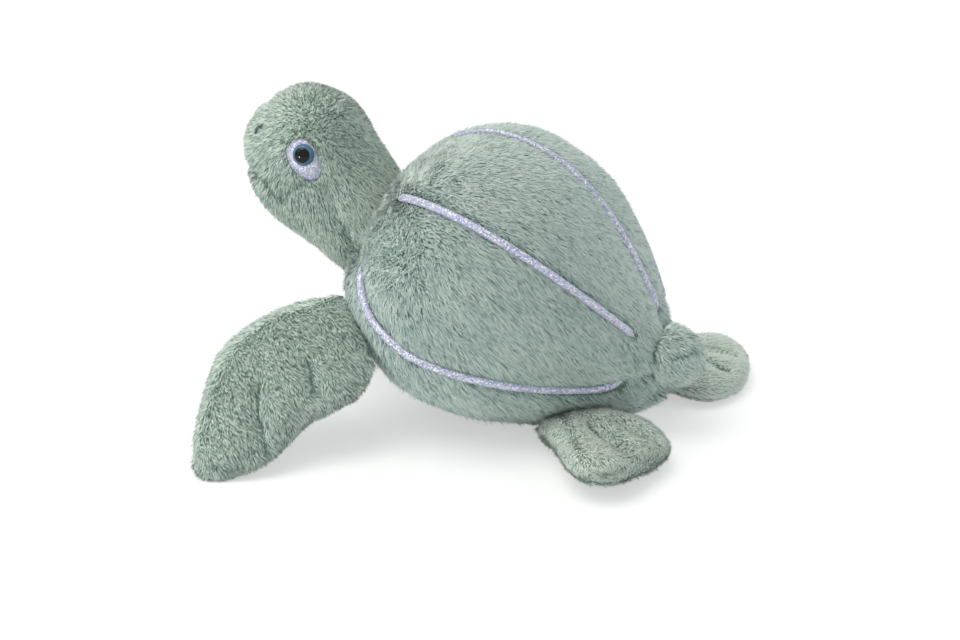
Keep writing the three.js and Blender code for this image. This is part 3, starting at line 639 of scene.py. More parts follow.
class Bag:
    """A closed stuffed skin: a ball drawn out to the form that place(share, turn) gives."""

    def __init__(self, rings, columns, place):
        ball = bmesh.new()
        bmesh.ops.create_uvsphere(ball, u_segments=columns, v_segments=rings, radius=1.0)
        ball.verts.ensure_lookup_table()
        corners = np.array([v.co for v in ball.verts])
        self.share = np.arccos(np.clip(corners[:, 2], -1, 1)) / np.pi
        self.turn = np.degrees(np.arctan2(corners[:, 1], corners[:, 0]))
        self.ball = ball
        self.faces = [[v.index for v in f.verts] for f in ball.faces]
        loops = ball.calc_loop_triangles()
        self.triangles = np.array([[loop.vert.index for loop in three] for three in loops])
        self.face_of = np.array([three[0].face.index for three in loops])
        self.move(place(self.share, self.turn))
        a, b, c = self.corners()
        if np.einsum("ij,ij->i", a, np.cross(b, c)).sum() < 0:
            bmesh.ops.reverse_faces(ball, faces=ball.faces[:])
            self.triangles = self.triangles[:, ::-1]

    def move(self, points):
        self.points = points
        for vert, point in zip(self.ball.verts, points * MM):
            vert.co = point

    def corners(self):
        """The three corners of every triangle."""
        return (self.points[self.triangles[:, i]] for i in range(3))

    def normals(self):
        a, b, c = self.corners()
        faces = np.cross(b - a, c - a)
        total = np.zeros_like(self.points)
        for i in range(3):
            np.add.at(total, self.triangles[:, i], faces)
        return unit(total)

    def push(self, out):
        """Moves the skin outwards, so far at each corner."""
        self.move(self.points + self.normals() * out[:, None])

    def centres(self):
        return np.array([self.points[f].mean(0) for f in self.faces])

    def stuff(self, held, swelling, cap):
        """Blows the bag up with the cloth solver, held fast along its seams.

        Swelling is how far the free cloth comes out, and cap is the most.
        """
        trial = bpy.data.objects.new("stuffing_trial", mesh_of(self.ball.copy(), "stuffing_trial"))
        bpy.context.scene.collection.objects.link(trial)
        group = trial.vertex_groups.new(name="sewn")
        for i, weight in enumerate(held):
            group.add([i], float(weight), "REPLACE")
        cloth = trial.modifiers.new("stuffed", "CLOTH")
        cloth.settings.vertex_group_mass = "sewn"
        cloth.settings.use_pressure = True
        cloth.settings.uniform_pressure_force = STUFFING_PRESSURE
        cloth.settings.effector_weights.gravity = 0
        cloth.point_cache.frame_start, cloth.point_cache.frame_end = 1, STUFFING_FRAMES
        for number in range(1, STUFFING_FRAMES + 1):
            bpy.context.scene.frame_set(number)
        blown = trial.evaluated_get(bpy.context.evaluated_depsgraph_get()).to_mesh()
        points = np.zeros(len(self.points) * 3)
        blown.vertices.foreach_get("co", points)
        bpy.data.objects.remove(trial)
        bpy.context.scene.frame_set(1)
        moved = points.reshape(-1, 3) / MM - self.points
        out = np.maximum(np.einsum("ij,ij->i", moved, self.normals()), 0)
        out *= 1.2 * swelling / max(np.median(out[held < 0.3]), 1e-6)
        self.push(self.evened(cap * np.tanh(out / cap), EVENING_ROUNDS))

    def evened(self, values, times):
        """Values at the corners, each drawn towards its neighbours' mean."""
        pairs = np.array([[v.index for v in edge.verts] for edge in self.ball.edges])
        first, second = np.concatenate([pairs, pairs[:, ::-1]]).T
        number = np.bincount(first, minlength=len(values))
        for _ in range(times):
            values = (values + np.bincount(first, values[second], len(values)) / number) / 2
        return values

    def cover(self, name, keep):
        """The cloth of the kept faces, in place of the CAD panel of that name."""
        mesh = mesh_of(self.panel(keep), name)
        return piece(name + "_cloth", mesh, "backing", "pile_cloth", [name + "_panel"])

    def panel(self, keep):
        """The bag's kept faces, with the cloth's thickness."""
        part = self.ball.copy()
        inner = (self.points - self.normals() * SKIN_THICK) * MM
        inner = {tuple(vert.co): place for vert, place in zip(part.verts, inner)}
        drop = [face for face, kept in zip(part.faces[:], keep) if not kept]
        bmesh.ops.delete(part, geom=drop, context="FACES")
        copies = bmesh.ops.extrude_face_region(part, geom=part.faces[:], use_keep_orig=True)["geom"]
        for vert in (g for g in copies if isinstance(g, bmesh.types.BMVert)):
            vert.co = inner[tuple(vert.co)]
        if drop:
            bmesh.ops.recalc_face_normals(part, faces=part.faces[:])
        else:
            lining = [g for g in copies if isinstance(g, bmesh.types.BMFace)]
            bmesh.ops.reverse_faces(part, faces=lining)
        return part


def settled_on_floor(points, rest):
    """Cloth that would reach below its rest height lies flat on the floor."""
    points = points.copy()
    low = points[:, 2] < rest
    points[low, 2] = rest
    return points


# ---------------------------------------------------------------- pile
# Share of strands that lead a tuft, how far they draw the others, and half a strand's width
TUFT_SHARE, TUFT_PULL, STRAND_RADIUS = 0.5, (0.25, 0.65), (0.2, 0.33)
RING = np.radians([90, 210, 330])
SIDE_TINT = np.array([0.02, -0.02, 0.0])


def scatter(bag, density, seed):
    """Roots over the bag's faces, so many to a square millimetre of each."""
    rng = np.random.default_rng(seed)
    a, b, c = bag.corners()
    area = np.linalg.norm(np.cross(b - a, c - a), axis=-1) / 2
    expected = area * density[bag.face_of]
    count = np.floor(expected + rng.random(len(expected))).astype(int)
    chosen = np.repeat(np.arange(len(count)), count)
    u, v = rng.random(len(chosen)), rng.random(len(chosen))
    over = u + v > 1
    u[over], v[over] = 1 - u[over], 1 - v[over]
    weights = np.stack([1 - u - v, u, v], -1)
    corners = bag.triangles[chosen]
    roots = np.einsum("ij,ijk->ik", weights, bag.points[corners])
    normals = unit(np.einsum("ij,ijk->ik", weights, bag.normals()[corners]))
    return roots, normals, bag.face_of[chosen]


def tufts(roots, rng):
    """The leading strand of the tuft that each strand stands in."""
    leaders = np.flatnonzero(rng.random(len(roots)) < TUFT_SHARE)
    tree = KDTree(len(leaders))
    for k, i in enumerate(leaders):
        tree.insert(roots[i], k)
    tree.balance()
    return leaders[np.array([tree.find(root)[1] for root in roots])]


def grown(name, roots, normals, comb, length, lift, width, tint, leader, pull):
    """A mesh of closed three-sided strands, laid over and drawn together in tufts."""
    count = len(roots)
    comb = unit(comb - normals * np.einsum("ij,ij->i", comb, normals)[:, None])
    rise = np.radians(lift)[:, None]
    start = roots - normals * 0.5
    tip = start + (comb * np.cos(rise) + normals * np.sin(rise)) * length[:, None]
    tip += (tip[leader] - tip) * pull[:, None]
    way = unit(tip - start)
    side = unit(np.cross(way, normals + 1e-3))
    upward = np.cross(side, way)
    ring = [start + (side * math.cos(a) + upward * math.sin(a)) * width[:, None] for a in RING]
    corners = np.stack([*ring, tip], 1)
    corners[..., 2] = np.maximum(corners[..., 2], 0.15 + 0.25 * width[:, None])
    faces = np.array([[0, 1, 2], [0, 3, 1], [1, 3, 2], [2, 3, 0]]).ravel()
    loops = (np.arange(count)[:, None] * 4 + faces).ravel()
    mesh = bpy.data.meshes.new(name)
    mesh.vertices.add(count * 4)
    mesh.loops.add(count * 12)
    mesh.polygons.add(count * 4)
    mesh.vertices.foreach_set("co", (corners * MM).astype(np.float32).ravel())
    mesh.loops.foreach_set("vertex_index", loops.astype(np.int32))
    mesh.polygons.foreach_set("loop_start", (np.arange(count * 4) * 3).astype(np.int32))
    mesh.polygons.foreach_set("loop_total", np.full(count * 4, 3, np.int32))
    mesh.update(calc_edges=True)
    mesh.shade_smooth()
    tints = np.concatenate([tint[:, None] + SIDE_TINT, tint[:, None]], 1)
    ways = np.tile([0.0, 0, 0, 1.0], (count, 1))
    lay = np.stack([np.clip(tints, 0.01, 0.99), np.clip(ways, 0.01, 0.99)], -1)
    marks = mesh.uv_layers.new(name="OFBake")
    marks.data.foreach_set("uv", lay.reshape(-1, 2)[loops].astype(np.float32).ravel())
    axis = np.stack([start, start, start, tip - way], 1)
    facing = unit(unit(corners - axis) * 0.45 + normals[:, None] * 0.8)
    mesh.normals_split_custom_set_from_vertices(facing.reshape(-1, 3))
    return mesh


def nowhere(points):
    return np.zeros(len(points))


def pile(name, bag, faces, density, seed, lay, comb_at, gap_at, keep_at, standing_at=nowhere, light=0.0):
    """The pile of one panel, which stands up and shows its roots where standing_at says.

    Lay is the strands' length, their lift in degrees and how much they stray. Light is painted
    light and shade: how much paler they are, one number or a function of their roots.
    """
    length, lift, stray = lay
    rng = np.random.default_rng(seed + 1)
    roots, normals, _ = scatter(bag, density * faces, seed)
    keep = (gap_at(roots) > 0.15) & keep_at(roots)
    roots, normals = roots[keep], normals[keep]
    gap, standing = gap_at(roots), standing_at(roots)
    count = len(roots)
    leader = tufts(roots, rng)
    comb = unit(comb_at(roots, normals))
    wild = (0.12 + 1.5 * standing)[:, None] * rng.normal(size=roots.shape)
    comb = comb + stray * drift(roots, 5.5, seed + 2, 3) + wild
    comb = comb * 0.4 + comb[leader] * 0.6
    short = 0.5 + 0.5 * smooth(0.2, 3.6, gap)
    lengths = length * short * (1 - 0.3 * standing) * rng.uniform(0.75, 1.15, count)
    lifts = lift * (1 + 0.22 * drift(roots, 6, seed + 3)) * rng.uniform(0.75, 1.25, count) + 34 * standing
    lifts = np.clip(lifts + 22 * (rng.random(count) < 0.1), 8, 80)
    widths = rng.uniform(*STRAND_RADIUS, count)
    own = rng.normal(0, 0.15 + 0.3 * stray, count)
    # Painted light and shade for each panel, then the pile's own uneven tone: each strand, its tuft and a
    # slow drift.
    painted_light_and_shade = light(roots) if callable(light) else light
    tint = 0.58 + painted_light_and_shade + own * 0.6 + own[leader] * 0.9 + drift(roots, 24, 11) * 0.09 - 0.1 * standing
    # Painted shade in the valleys: strands darken right at seams, creases and quilting lines, and a little
    # out to 6 mm.
    tint = tint - 0.42 * (1 - smooth(0.15, 1.3, gap)) - 0.16 * (1 - smooth(1.0, 6.0, gap))
    pulls = rng.uniform(*TUFT_PULL, count)
    mesh = grown(name, roots, normals, comb, lengths, lifts, widths, tint, leader, pulls)
    finish = "shell_pile" if name.startswith(("shell", "belly", "tail")) else "limb_pile"
    return piece(name, mesh, finish, "pile_cloth")


# ---------------------------------------------------------------- body
PIPING_RUNS = [
    ("ridge", 0, 37, 139.5),
    ("left_middle", 1, 35, 137.5),
    ("right_middle", -1, 35, 137.5),
    ("left_lower", 2, 30.5, 141.5),
    ("right_lower", -2, 30.5, 141.5),
]
SEAMS = (0, 1, 2, -2, -1)
PIPED = np.array([run[2:] for seam in SEAMS for run in PIPING_RUNS if run[1] == seam])
PANEL_FRONT, PANEL_REAR = 9, 168
LOWER_TURNS = LOWER_SEAM * np.interp(np.linspace(0, 1, 19), *zip(*LOWER_SEAM_RISE))[:, None]


def lower_seam(along):
    """The lower seam's turn from the ridge, which rises at both ends."""
    return through(LOWER_TURNS, (along - PANEL_FRONT) / (PANEL_REAR - PANEL_FRONT))[..., 0]


def seam_turn(number, along):
    turn = [0 * along, MIDDLE_SEAM + 0 * along, lower_seam(along)][abs(number)]
    return turn * (1 if number >= 0 else -1)


def body_seam_gap(points):
    """Distance to the nearest seam of the shell and to where its pile is trimmed, and the place."""
    along, around, _ = body_place(points)
    q = points - BODY_CENTRE
    radius = np.linalg.norm(q - (q @ BODY_AXIS)[:, None] * BODY_AXIS, axis=-1)
    seams = np.stack([seam_turn(number, along) for number in SEAMS], 1)
    gap = around[:, None] - seams
    nearest = np.abs(gap).argmin(1)
    signed = np.take_along_axis(gap, nearest[:, None], 1)[:, 0]
    distance = np.radians(np.abs(signed)) * radius
    piped = (along > PIPED[nearest, 0] + 1) & (along < PIPED[nearest, 1] - 2)
    below = signed * np.sign(around) > 0
    trimmed = np.where(nearest == 0, signed < 0, np.where((nearest == 1) | (nearest == 4), ~below, below))
    gap = np.where(piped & trimmed, distance - 2.9, distance + 4 * (distance > 0.9 * piped))
    return distance, gap, along, around


HIP_CREASE = [(26.7, 72.7, -4.6), (21.8, 76.4, -10.6), (17.9, 79.2, -15.3), (13.9, 82.2, -20.6)]


def hip_crease(points):
    line = BODY_CENTRE + along_line(HIP_CREASE)
    return near(points, both_sides(line))


def body_place_of(share, turn):
    along, size = 180 * share, np.abs(turn)
    low = lower_seam(along)
    upper = size / 45 * MIDDLE_SEAM
    side = MIDDLE_SEAM + (size - 45) / 56.25 * (low - MIDDLE_SEAM)
    belly = low + (size - 101.25) / 78.75 * (180 - low)
    size = np.where(size < 45, upper, np.where(size < 101.25, side, belly))
    return body_point(along, np.sign(turn) * size, SKIN_INSET)


# How far out, then where along and how far it reaches, and its turn and how far it reaches
BODY_SWELLS = [(4.5, 28, 13, 117, 15), (2.4, 78, 30, 128, 22), (-2.8, 152, 15, 132, 24)]


def make_body():
    bag = Bag(84, 96, body_place_of)
    distance, _, along, around = body_seam_gap(bag.points)
    held = 1 - smooth(1.5, 6.0, distance)
    hidden = (along < 20) | (along > 160)
    held = np.maximum(held, hidden * 0.6)
    bag.stuff(held, SKIN_SWELL, SKIN_SWELL * 1.4)
    soft = drift(bag.points, 22, 21) * 0.7 * (1 - held) - 1.3 * bell(hip_crease(bag.points), 3.0)
    for out, way, length, turn, width in BODY_SWELLS:
        soft = soft + out * bell(along - way, length, np.abs(around) - turn, width)
    bag.push(soft)
    bag.move(settled_on_floor(bag.points, BODY_REST))
    centres = bag.centres()
    alongs, turns, _ = body_place(centres)
    low = lower_seam(alongs)
    panels = {
        "shell_left_upper": (turns >= 0) & (turns < MIDDLE_SEAM),
        "shell_left_side": (turns >= MIDDLE_SEAM) & (turns < low),
        "shell_right_upper": (turns < 0) & (turns >= -MIDDLE_SEAM),
        "shell_right_side": (turns < -MIDDLE_SEAM) & (turns >= -low),
        "belly": np.abs(turns) >= low,
    }
    for name, faces in panels.items():
        cover = bag.cover(name, faces)
        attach(cover, "turtle")

    def comb(points, normals):
        along, around, _ = body_place(points)
        size = np.abs(around)
        down = np.cross(normals, BODY_AXIS) * np.sign(around + 1e-6)[:, None]
        down = down * np.sign(-down[:, [2]] + 1e-9)
        slope = np.interp(size, [0, 30, 60, 95, 115, 140, 180], [3, 12, 14, 20, 22, 20, 0])
        rear = np.interp(along, [30, 70, 110, 150], [-4, 0, 6, 12])
        slope = np.radians(slope + rear * smooth(15, 60, size) * smooth(150, 110, size))
        return BODY_AXIS * np.cos(slope)[:, None] + down * np.sin(slope)[:, None]

    def seam_gap(points):
        neck = 32 * (head_place(points, 3.0)[2] - 1)
        return np.minimum(body_seam_gap(points)[1], 0.2 + neck)

    def open_to_view(points):
        return (head_place(points, 3.0)[2] > 1) & (tail_level(points, 4.5) > 1)

    def standing(points):
        along, around, _ = body_place(points)
        return 0.8 * bell(along - 50, 13, np.abs(around) - 72, 11)

    shell = ["shell_left_upper", "shell_right_upper", "shell_left_side", "shell_right_side"]
    for k, name in enumerate(shell):
        density = np.full(len(centres), 3.35)
        # Painted light from above: the upper panels' pile is paler than the sides'.
        light = 0.16 if name.endswith("upper") else 0.06
        where = (name + "_pile", bag, panels[name], density, 100 + 10 * k)
        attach(pile(*where, (5.6, 24, 0.3), comb, seam_gap, open_to_view, standing, light), "turtle")
    flank = smooth(150, 118, np.abs(turns))
    density = 0.6 + 1.6 * flank
    for k, (name, half) in enumerate((("left", centres[:, 0] >= 0), ("right", centres[:, 0] < 0))):
        where = (f"belly_{name}_pile", bag, panels["belly"] & half, density, 160 + 10 * k)
        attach(pile(*where, (6.2, 23, 0.3), comb, seam_gap, open_to_view), "turtle")
    return bag


def filling(name, bag, inset=FILLING_INSET):
    """The fibre filling of a bag."""
    part = bag.ball.copy()
    part.verts.ensure_lookup_table()
    inset = np.broadcast_to(inset, len(bag.points))[:, None]
    for vert, point in zip(part.verts, (bag.points - bag.normals() * inset) * MM):
        vert.co = point
    name += "_filling"
    return piece(name, mesh_of(part, name), "filling", "fibre_fill", [name.replace("filling", "stuffing")])


def make_piping():
    for name, seam, start, end in PIPING_RUNS:
        alongs = np.linspace(start, end, 110)
        turns = seam_turn(seam, alongs)
        share = np.linspace(0, 1, 110)
        taper = np.minimum(smooth(0, 0.06, share), smooth(1, 0.945, share))
        middle = body_point(alongs, turns, 0.6 + 2.2 * (1 - taper))
        normal = surface_frame(body_point, alongs, turns, 1.0)["normal"]
        normal = normal * np.sign(np.einsum("ij,ij->i", normal, middle - BODY_CENTRE))[:, None]
        ripple = 1 + 0.035 * drift(middle, 3.0, 31) + 0.03 * drift(middle, 9.0, 32)
        radius = PIPING_WIDTH / 2 * (0.06 + 0.94 * taper**0.8) * ripple
        if name == "ridge":
            radius = radius * (0.55 + 0.45 * smooth(0, 0.5, share))
        strip, core = tube(middle, normal, radius, 20, name), tube(middle, normal, radius * 0.62, 8, name)
        on_body(name + "_piping_strip", strip, "glitter", "glitter_cloth", [name + "_piping"])
        on_body(name + "_piping_core", core, "cotton", "piping_cord", [name + "_piping_cord"])


def tube(middle, normal, radius, sides, name):
    """A closed tube along a line, drawn out ring by ring."""
    tangent = unit(np.gradient(middle, axis=0))
    side = unit(np.cross(tangent, normal))
    upward = np.cross(side, tangent)
    shape = bmesh.new()
    lay = shape.loops.layers.uv.new("lay")
    made = bmesh.ops.create_circle(shape, segments=sides, radius=1.0, cap_ends=False)
    ring = made["verts"]
    angles = [math.atan2(v.co.y, v.co.x) for v in ring]
    run = np.concatenate([[0], np.cumsum(np.linalg.norm(np.diff(middle, axis=0), axis=-1))]) * MM
    place = {}

    def set_ring(verts, i):
        for k, (vert, angle) in enumerate(zip(verts, angles)):
            vert.co = (middle[i] + (side[i] * math.cos(angle) + upward[i] * math.sin(angle)) * radius[i]) * MM
            place[vert] = (k, i)

    set_ring(ring, 0)
    edges = list({e for v in ring for e in v.link_edges})
    caps = [bmesh.ops.contextual_create(shape, geom=edges)["faces"][0]]
    for i in range(1, len(middle)):
        grown_ring = bmesh.ops.extrude_edge_only(shape, edges=edges)["geom"]
        moved = [g for g in grown_ring if isinstance(g, bmesh.types.BMVert)]
        edges = [g for g in grown_ring if isinstance(g, bmesh.types.BMEdge)]
        previous = {v: n for n, v in enumerate(ring)}
        ordered = [None] * sides
        for vert in moved:
            for edge in vert.link_edges:
                other = edge.other_vert(vert)
                if other in previous:
                    ordered[previous[other]] = vert
        ring = ordered
        set_ring(ring, i)
    caps.append(bmesh.ops.contextual_create(shape, geom=edges)["faces"][0])
    bmesh.ops.recalc_face_normals(shape, faces=shape.faces[:])
    for face in shape.faces:
        columns = [place[loop.vert][0] for loop in face.loops]
        wraps = max(columns) - min(columns) > sides / 2
        for loop in face.loops:
            k, i = place[loop.vert]
            k = k + sides if wraps and k < sides / 2 else k
            loop[lay].uv = (k / sides, run[i])
    return mesh_of(shape, name)


# ---------------------------------------------------------------- head
NECK_END = 0.94


def head_place_of(share, turn):
    root = np.minimum(share / NECK_END, 1)
    points = head_point(root, turn, SKIN_INSET)
    middle = (head_point(1.0, 0, SKIN_INSET) + head_point(1.0, 180, SKIN_INSET)) / 2
    shut = np.clip((share - NECK_END) / (1 - NECK_END), 0, 1)[:, None]
    return points + (middle - points) * shut


# Depth and width of each crease, and its run: root of the way along, share of the half turn
HEAD_CREASES = [
    (1.5, 2.6, [(0.385, 1.0), (0.39, 0.9), (0.404, 0.806), (0.44, 0.762)]),
    (1.5, 2.6, [(0.44, 0.762), (0.47, 0.724), (0.54, 0.633), (0.604, 0.614)]),
    (
        1.6,
        2.6,
        [(0.604, 0.614), (0.66, 0.607), (0.652, 0.579), (0.646, 0.525), (0.65, 0.475), (0.663, 0.434)],
    ),
    (2.0, 2.4, [(0.715, 0.39), (0.753, 0.399), (0.787, 0.428), (0.833, 0.452), (0.868, 0.473)]),
    (4.2, 1.9, [(0.868, 0.473), (0.902, 0.495), (0.926, 0.532), (0.95, 0.56)]),
    (0.9, 2.0, [(0.542, 0.427), (0.547, 0.456), (0.558, 0.49)]),
]


def head_creases(points):
    """How deep the creases press each point in, and its distance to the nearest one."""
    depth, gap = np.zeros(len(points)), np.full(len(points), 99.0)
    for deep, wide, run in HEAD_CREASES:
        roots, shares = along_line(run).T
        line = head_point(roots, 180 * shares, SKIN_INSET * 0.6)
        distance = near(points, both_sides(line))
        depth = np.maximum(depth, deep * bell(distance, wide))
        gap = np.minimum(gap, (2.2 - 0.35 * deep) * distance + 1.2 - 0.5 * deep)
    return depth, gap


def nape_gap(points):
    """Distance to the seam over the top of the head."""
    _, turn, _ = head_place(points)
    return np.where(np.abs(turn) < 90, np.abs(points[:, 0]), 99.0)


def from_head_axis(points):
    """The way straight out from the head's axis, at each point."""
    return unit(points - (HEAD_CROWN + ((points - HEAD_CROWN) @ HEAD_AXIS)[:, None] * HEAD_AXIS))


def eye_frame(side):
    made = surface_frame(head_point, EYE_ALONG, side * EYE_TURN, 0.01)
    outward = made["normal"] * (1 if made["normal"][0] * side > 0 else -1)
    down = made["across"] * side
    return made, outward, down


def patch_reach(back, down):
    """How far the seen edge of the patch is from the eye in some direction."""
    turn = (np.degrees(np.arctan2(down, back)) - 2) % 360 + 2
    turns, reaches = zip(*PATCH_OUTLINE)
    return np.interp(turn, turns, reaches)


def patch_gap(points):
    """Distance outwards from the edge of the patch round the eye."""
    root, turn, _ = head_place(points)
    centre = surface_frame(head_point, EYE_ALONG, EYE_TURN, 0.01)
    back = (root - EYE_ALONG) * centre["along_rate"]
    down = (np.abs(turn) - EYE_TURN) * centre["around_rate"]
    return np.hypot(back, down) - patch_reach(back, down)


def make_head():
    bag = Bag(84, 84, head_place_of)
    depth, crease = head_creases(bag.points)
    nape, (root, _, _) = nape_gap(bag.points), head_place(bag.points)
    held = np.maximum(1 - smooth(1.0, 5.0, crease), 0.5 * (1 - smooth(0.5, 3, nape)))
    held = np.maximum(held, 1 - smooth(0, 4, patch_gap(bag.points)))
    held = np.maximum(held, (root > 0.93) * 1.0)
    bag.stuff(held, SKIN_SWELL, SKIN_SWELL * 1.4)
    soft = drift(bag.points, 18, 41) * 0.6 * (1 - held) - depth - 0.5 * bell(nape, 2.5)
    soft = soft + 0.9 * smooth(0.4, 0.2, root) - 1.2 * smooth(0.5, 0.8, root)
    bag.push(soft + 1.7 * bell(patch_gap(bag.points) - 2.5, 4))
    centres = bag.centres()
    roots, turns, _ = head_place(centres)
    throat = (np.abs(turns) > head_seam_turn(np.maximum(roots, 0.44))) & (roots > 0.44)
    panels = {
        "throat": throat,
        "head_left": ~throat & (turns >= 0),
        "head_right": ~throat & (turns < 0),
    }
    for name, faces in panels.items():
        cover = bag.cover(name, faces)
        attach(cover, "turtle")

    swirl = head_point(SWIRL_ALONG, SWIRL_TURN, 8)
    nostrils = np.vstack([nostril_line(1), nostril_line(-1)])

    def comb(points, normals):
        away = unit(on_left(points) - swirl)
        away[:, 0] *= np.sign(points[:, 0] + 1e-9)
        root = head_place(points)[0]
        lower = smooth(0.5, 0.8, root)[:, None]
        over = smooth(9, 0, np.abs(points[:, 0]))[:, None] * smooth(0.2, 0.4, root)[:, None]
        combed = away * (1 - 0.5 * lower) * (1 - over) + (HEAD_AXIS * 0.8 + SAG * 0.15) * lower
        return combed + HEAD_AXIS * over

    def grooves(points):
        return head_creases(points)[1]

    def open_to_view(points):
        tips = points + unit(comb(points, points)) * 3.8
        clear = (near(points, nostrils) > 1.5) & (near(tips, nostrils) > 1.1)
        ragged = drift(points, 1.1, 47)
        clear &= (patch_gap(points) > -0.3 + 0.5 * ragged) & (patch_gap(tips) > -1.5 + 1.6 * ragged)
        return clear & (body_place(points, 2.0)[2] > 1)

    def standing(points):
        far = on_left(points) - head_point(SWIRL_ALONG, SWIRL_TURN, 3.6)
        return 0.9 * bell(np.linalg.norm(far, axis=-1), 22)

    # Painted light and shade along the head: darkest partway down, palest down the neck where the head shades
    # it.
    def light(points):
        return np.interp(head_place(points)[0], [0.3, 0.5, 0.65, 0.85], [-0.01, -0.11, -0.04, 0.19])

    for k, (name, density) in enumerate((("throat", 2.4), ("head_left", 3.5), ("head_right", 3.5))):
        thick = np.full(len(centres), density)
        where = (name + "_pile", bag, panels[name], thick, 300 + 10 * k)
        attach(pile(*where, (4.3, 25, 0.4), comb, grooves, open_to_view, standing, light), "turtle")
    return bag


def nostril_line(side):
    turn = side * NOSTRIL_TURN
    centre = surface_frame(head_point, NOSTRIL_ALONG, turn, 0.01)
    angle = np.radians(np.linspace(-NOSTRIL_SWEEP / 2, NOSTRIL_SWEEP / 2, 24))
    roots = NOSTRIL_ALONG - NOSTRIL_ARC * np.cos(angle) / centre["along_rate"]
    turns = turn + NOSTRIL_ARC * np.sin(angle) / centre["around_rate"]
    return head_point(roots, turns, 0.2)


def spun(profile, matrix, name):
    """A shape turned about its own upright axis, then set in its place."""
    shape = bmesh.new()
    verts = [shape.verts.new((radius * MM, 0, height * MM)) for radius, height in profile]
    edges = [shape.edges.new(pair) for pair in zip(verts[:-1], verts[1:])]
    turned = {"axis": (0, 0, 1), "cent": (0, 0, 0), "steps": 48, "angle": math.tau, "use_merge": True}
    bmesh.ops.spin(shape, geom=verts + edges, **turned)
    bmesh.ops.remove_doubles(shape, verts=shape.verts[:], dist=1e-7)
    bmesh.ops.transform(shape, matrix=matrix, verts=shape.verts[:])
    bmesh.ops.recalc_face_normals(shape, faces=shape.faces[:])
    return mesh_of(shape, name)


def make_face():
    base = PATCH_THICK - 0.1
    rim = EYE_WIDTH / 2
    dome = EYE_HEIGHT - 0.9
    for side, word in ((1, "left"), (-1, "right")):
        place, outward, down = eye_frame(side)
        third = np.cross(outward, down)
        rows = np.stack([down, third, outward, place["place"] * MM], 1)
        matrix = Matrix([*rows.tolist(), (0, 0, 0, 1)])
        angles = np.linspace(0, math.radians(46), 12)
        slope = [(rim * math.cos(a), base + 0.8 + dome * math.sin(a)) for a in angles]
        shank = [(0, base - 11), (2, base - 11), (2, base - 1.4), (rim - 0.9, base - 1.2)]
        profile = shank + [(rim - 0.2, base - 0.6)] + slope + [(0, slope[-1][1] - 0.4)]
        on_body(word + "_eye_iris", spun(profile, matrix, "iris"), "iris", "eye_iris", [word + "_eye"])
        angles = np.linspace(math.acos(PUPIL_WIDTH / EYE_WIDTH), math.pi / 2, 14)
        cap = [(rim * math.cos(a) * 0.985, base + 0.86 + dome * math.sin(a)) for a in angles]
        profile = [(0, base + 2.6), (cap[0][0], base + 2.6)] + cap[:-1] + [(0, cap[-1][1])]
        pupil = spun(profile, matrix, "pupil")
        on_body(word + "_eye_dome", pupil, "pupil", "eye_pupil", [word + "_eye_pupil"])
        patch = mesh_of(eye_patch(side), "patch")
        on_body(word + "_eye_patch_cloth", patch, "glitter", "glitter_cloth", [word + "_eye_patch"])
        line = nostril_line(side)
        normal = from_head_axis(line)
        share = np.linspace(0, 1, len(line))
        radius = 0.8 * (0.45 + 0.55 * np.sqrt(np.sin(np.pi * np.clip(share, 0.02, 0.98))))
        stitches = tube(line + normal * 0.9, normal, radius, 10, "nostril")
        on_body(word + "_nostril_stitches", stitches, "thread", "satin_thread", [word + "_nostril"])
        washer = frame["nodes"][word + "_eye_washer"]
        washer.data.materials.clear()
        washer.data.materials.append(FINISHES["washer"])


def eye_patch(side):
    """The glitter drop round an eye, which follows the head's cloth."""
    centre = surface_frame(head_point, EYE_ALONG, side * EYE_TURN, 0.01)
    disc = bmesh.new()
    bmesh.ops.create_circle(disc, segments=64, radius=1.0, cap_ends=True, cap_tris=True)
    spokes = [e for e in disc.edges if not e.is_boundary]
    bmesh.ops.subdivide_edges(disc, edges=spokes, cuts=10, use_grid_fill=True)
    flat = np.array([v.co for v in disc.verts])
    size = np.hypot(flat[:, 0], flat[:, 1])
    reach = patch_reach(flat[:, 0], flat[:, 1]) + 0.5
    lift = 0.45 - 2.4 * smooth(0.7, 1.0, size)
    roots = EYE_ALONG + flat[:, 0] * reach / centre["along_rate"]
    turns = side * (EYE_TURN + flat[:, 1] * reach / centre["around_rate"])
    points = head_point(roots, turns, 0)
    outward = from_head_axis(points)
    points = points + outward * (lift + 0.12 * drift(points, 4, 45))[:, None]
    for vert, point in zip(disc.verts, points * MM):
        vert.co = point
    bmesh.ops.recalc_face_normals(disc, faces=disc.faces[:])
    middle = Vector(outward.mean(0))
    if sum((f.normal.dot(middle) for f in disc.faces)) < 0:
        bmesh.ops.reverse_faces(disc, faces=disc.faces[:])
    bmesh.ops.solidify(disc, geom=disc.faces[:], thickness=PATCH_THICK * MM)
    return disc


# ---------------------------------------------------------------- tail
TAIL_SEAM = [(0, 12, 13), (0, 17.5, 8), (0, 20, 0), (0, 16, -12)]
TAIL_DART = [(15.2, 7.1, 4.4), (10.6, 14.2, 5.6), (7.2, 16.6, 6.4), (3.8, 18.4, 5.4)]


def tail_gap(points):
    seam, dart = along_line(TAIL_SEAM), along_line(TAIL_DART)
    return near(points - TAIL_CENTRE, np.vstack([seam, both_sides(dart)]))


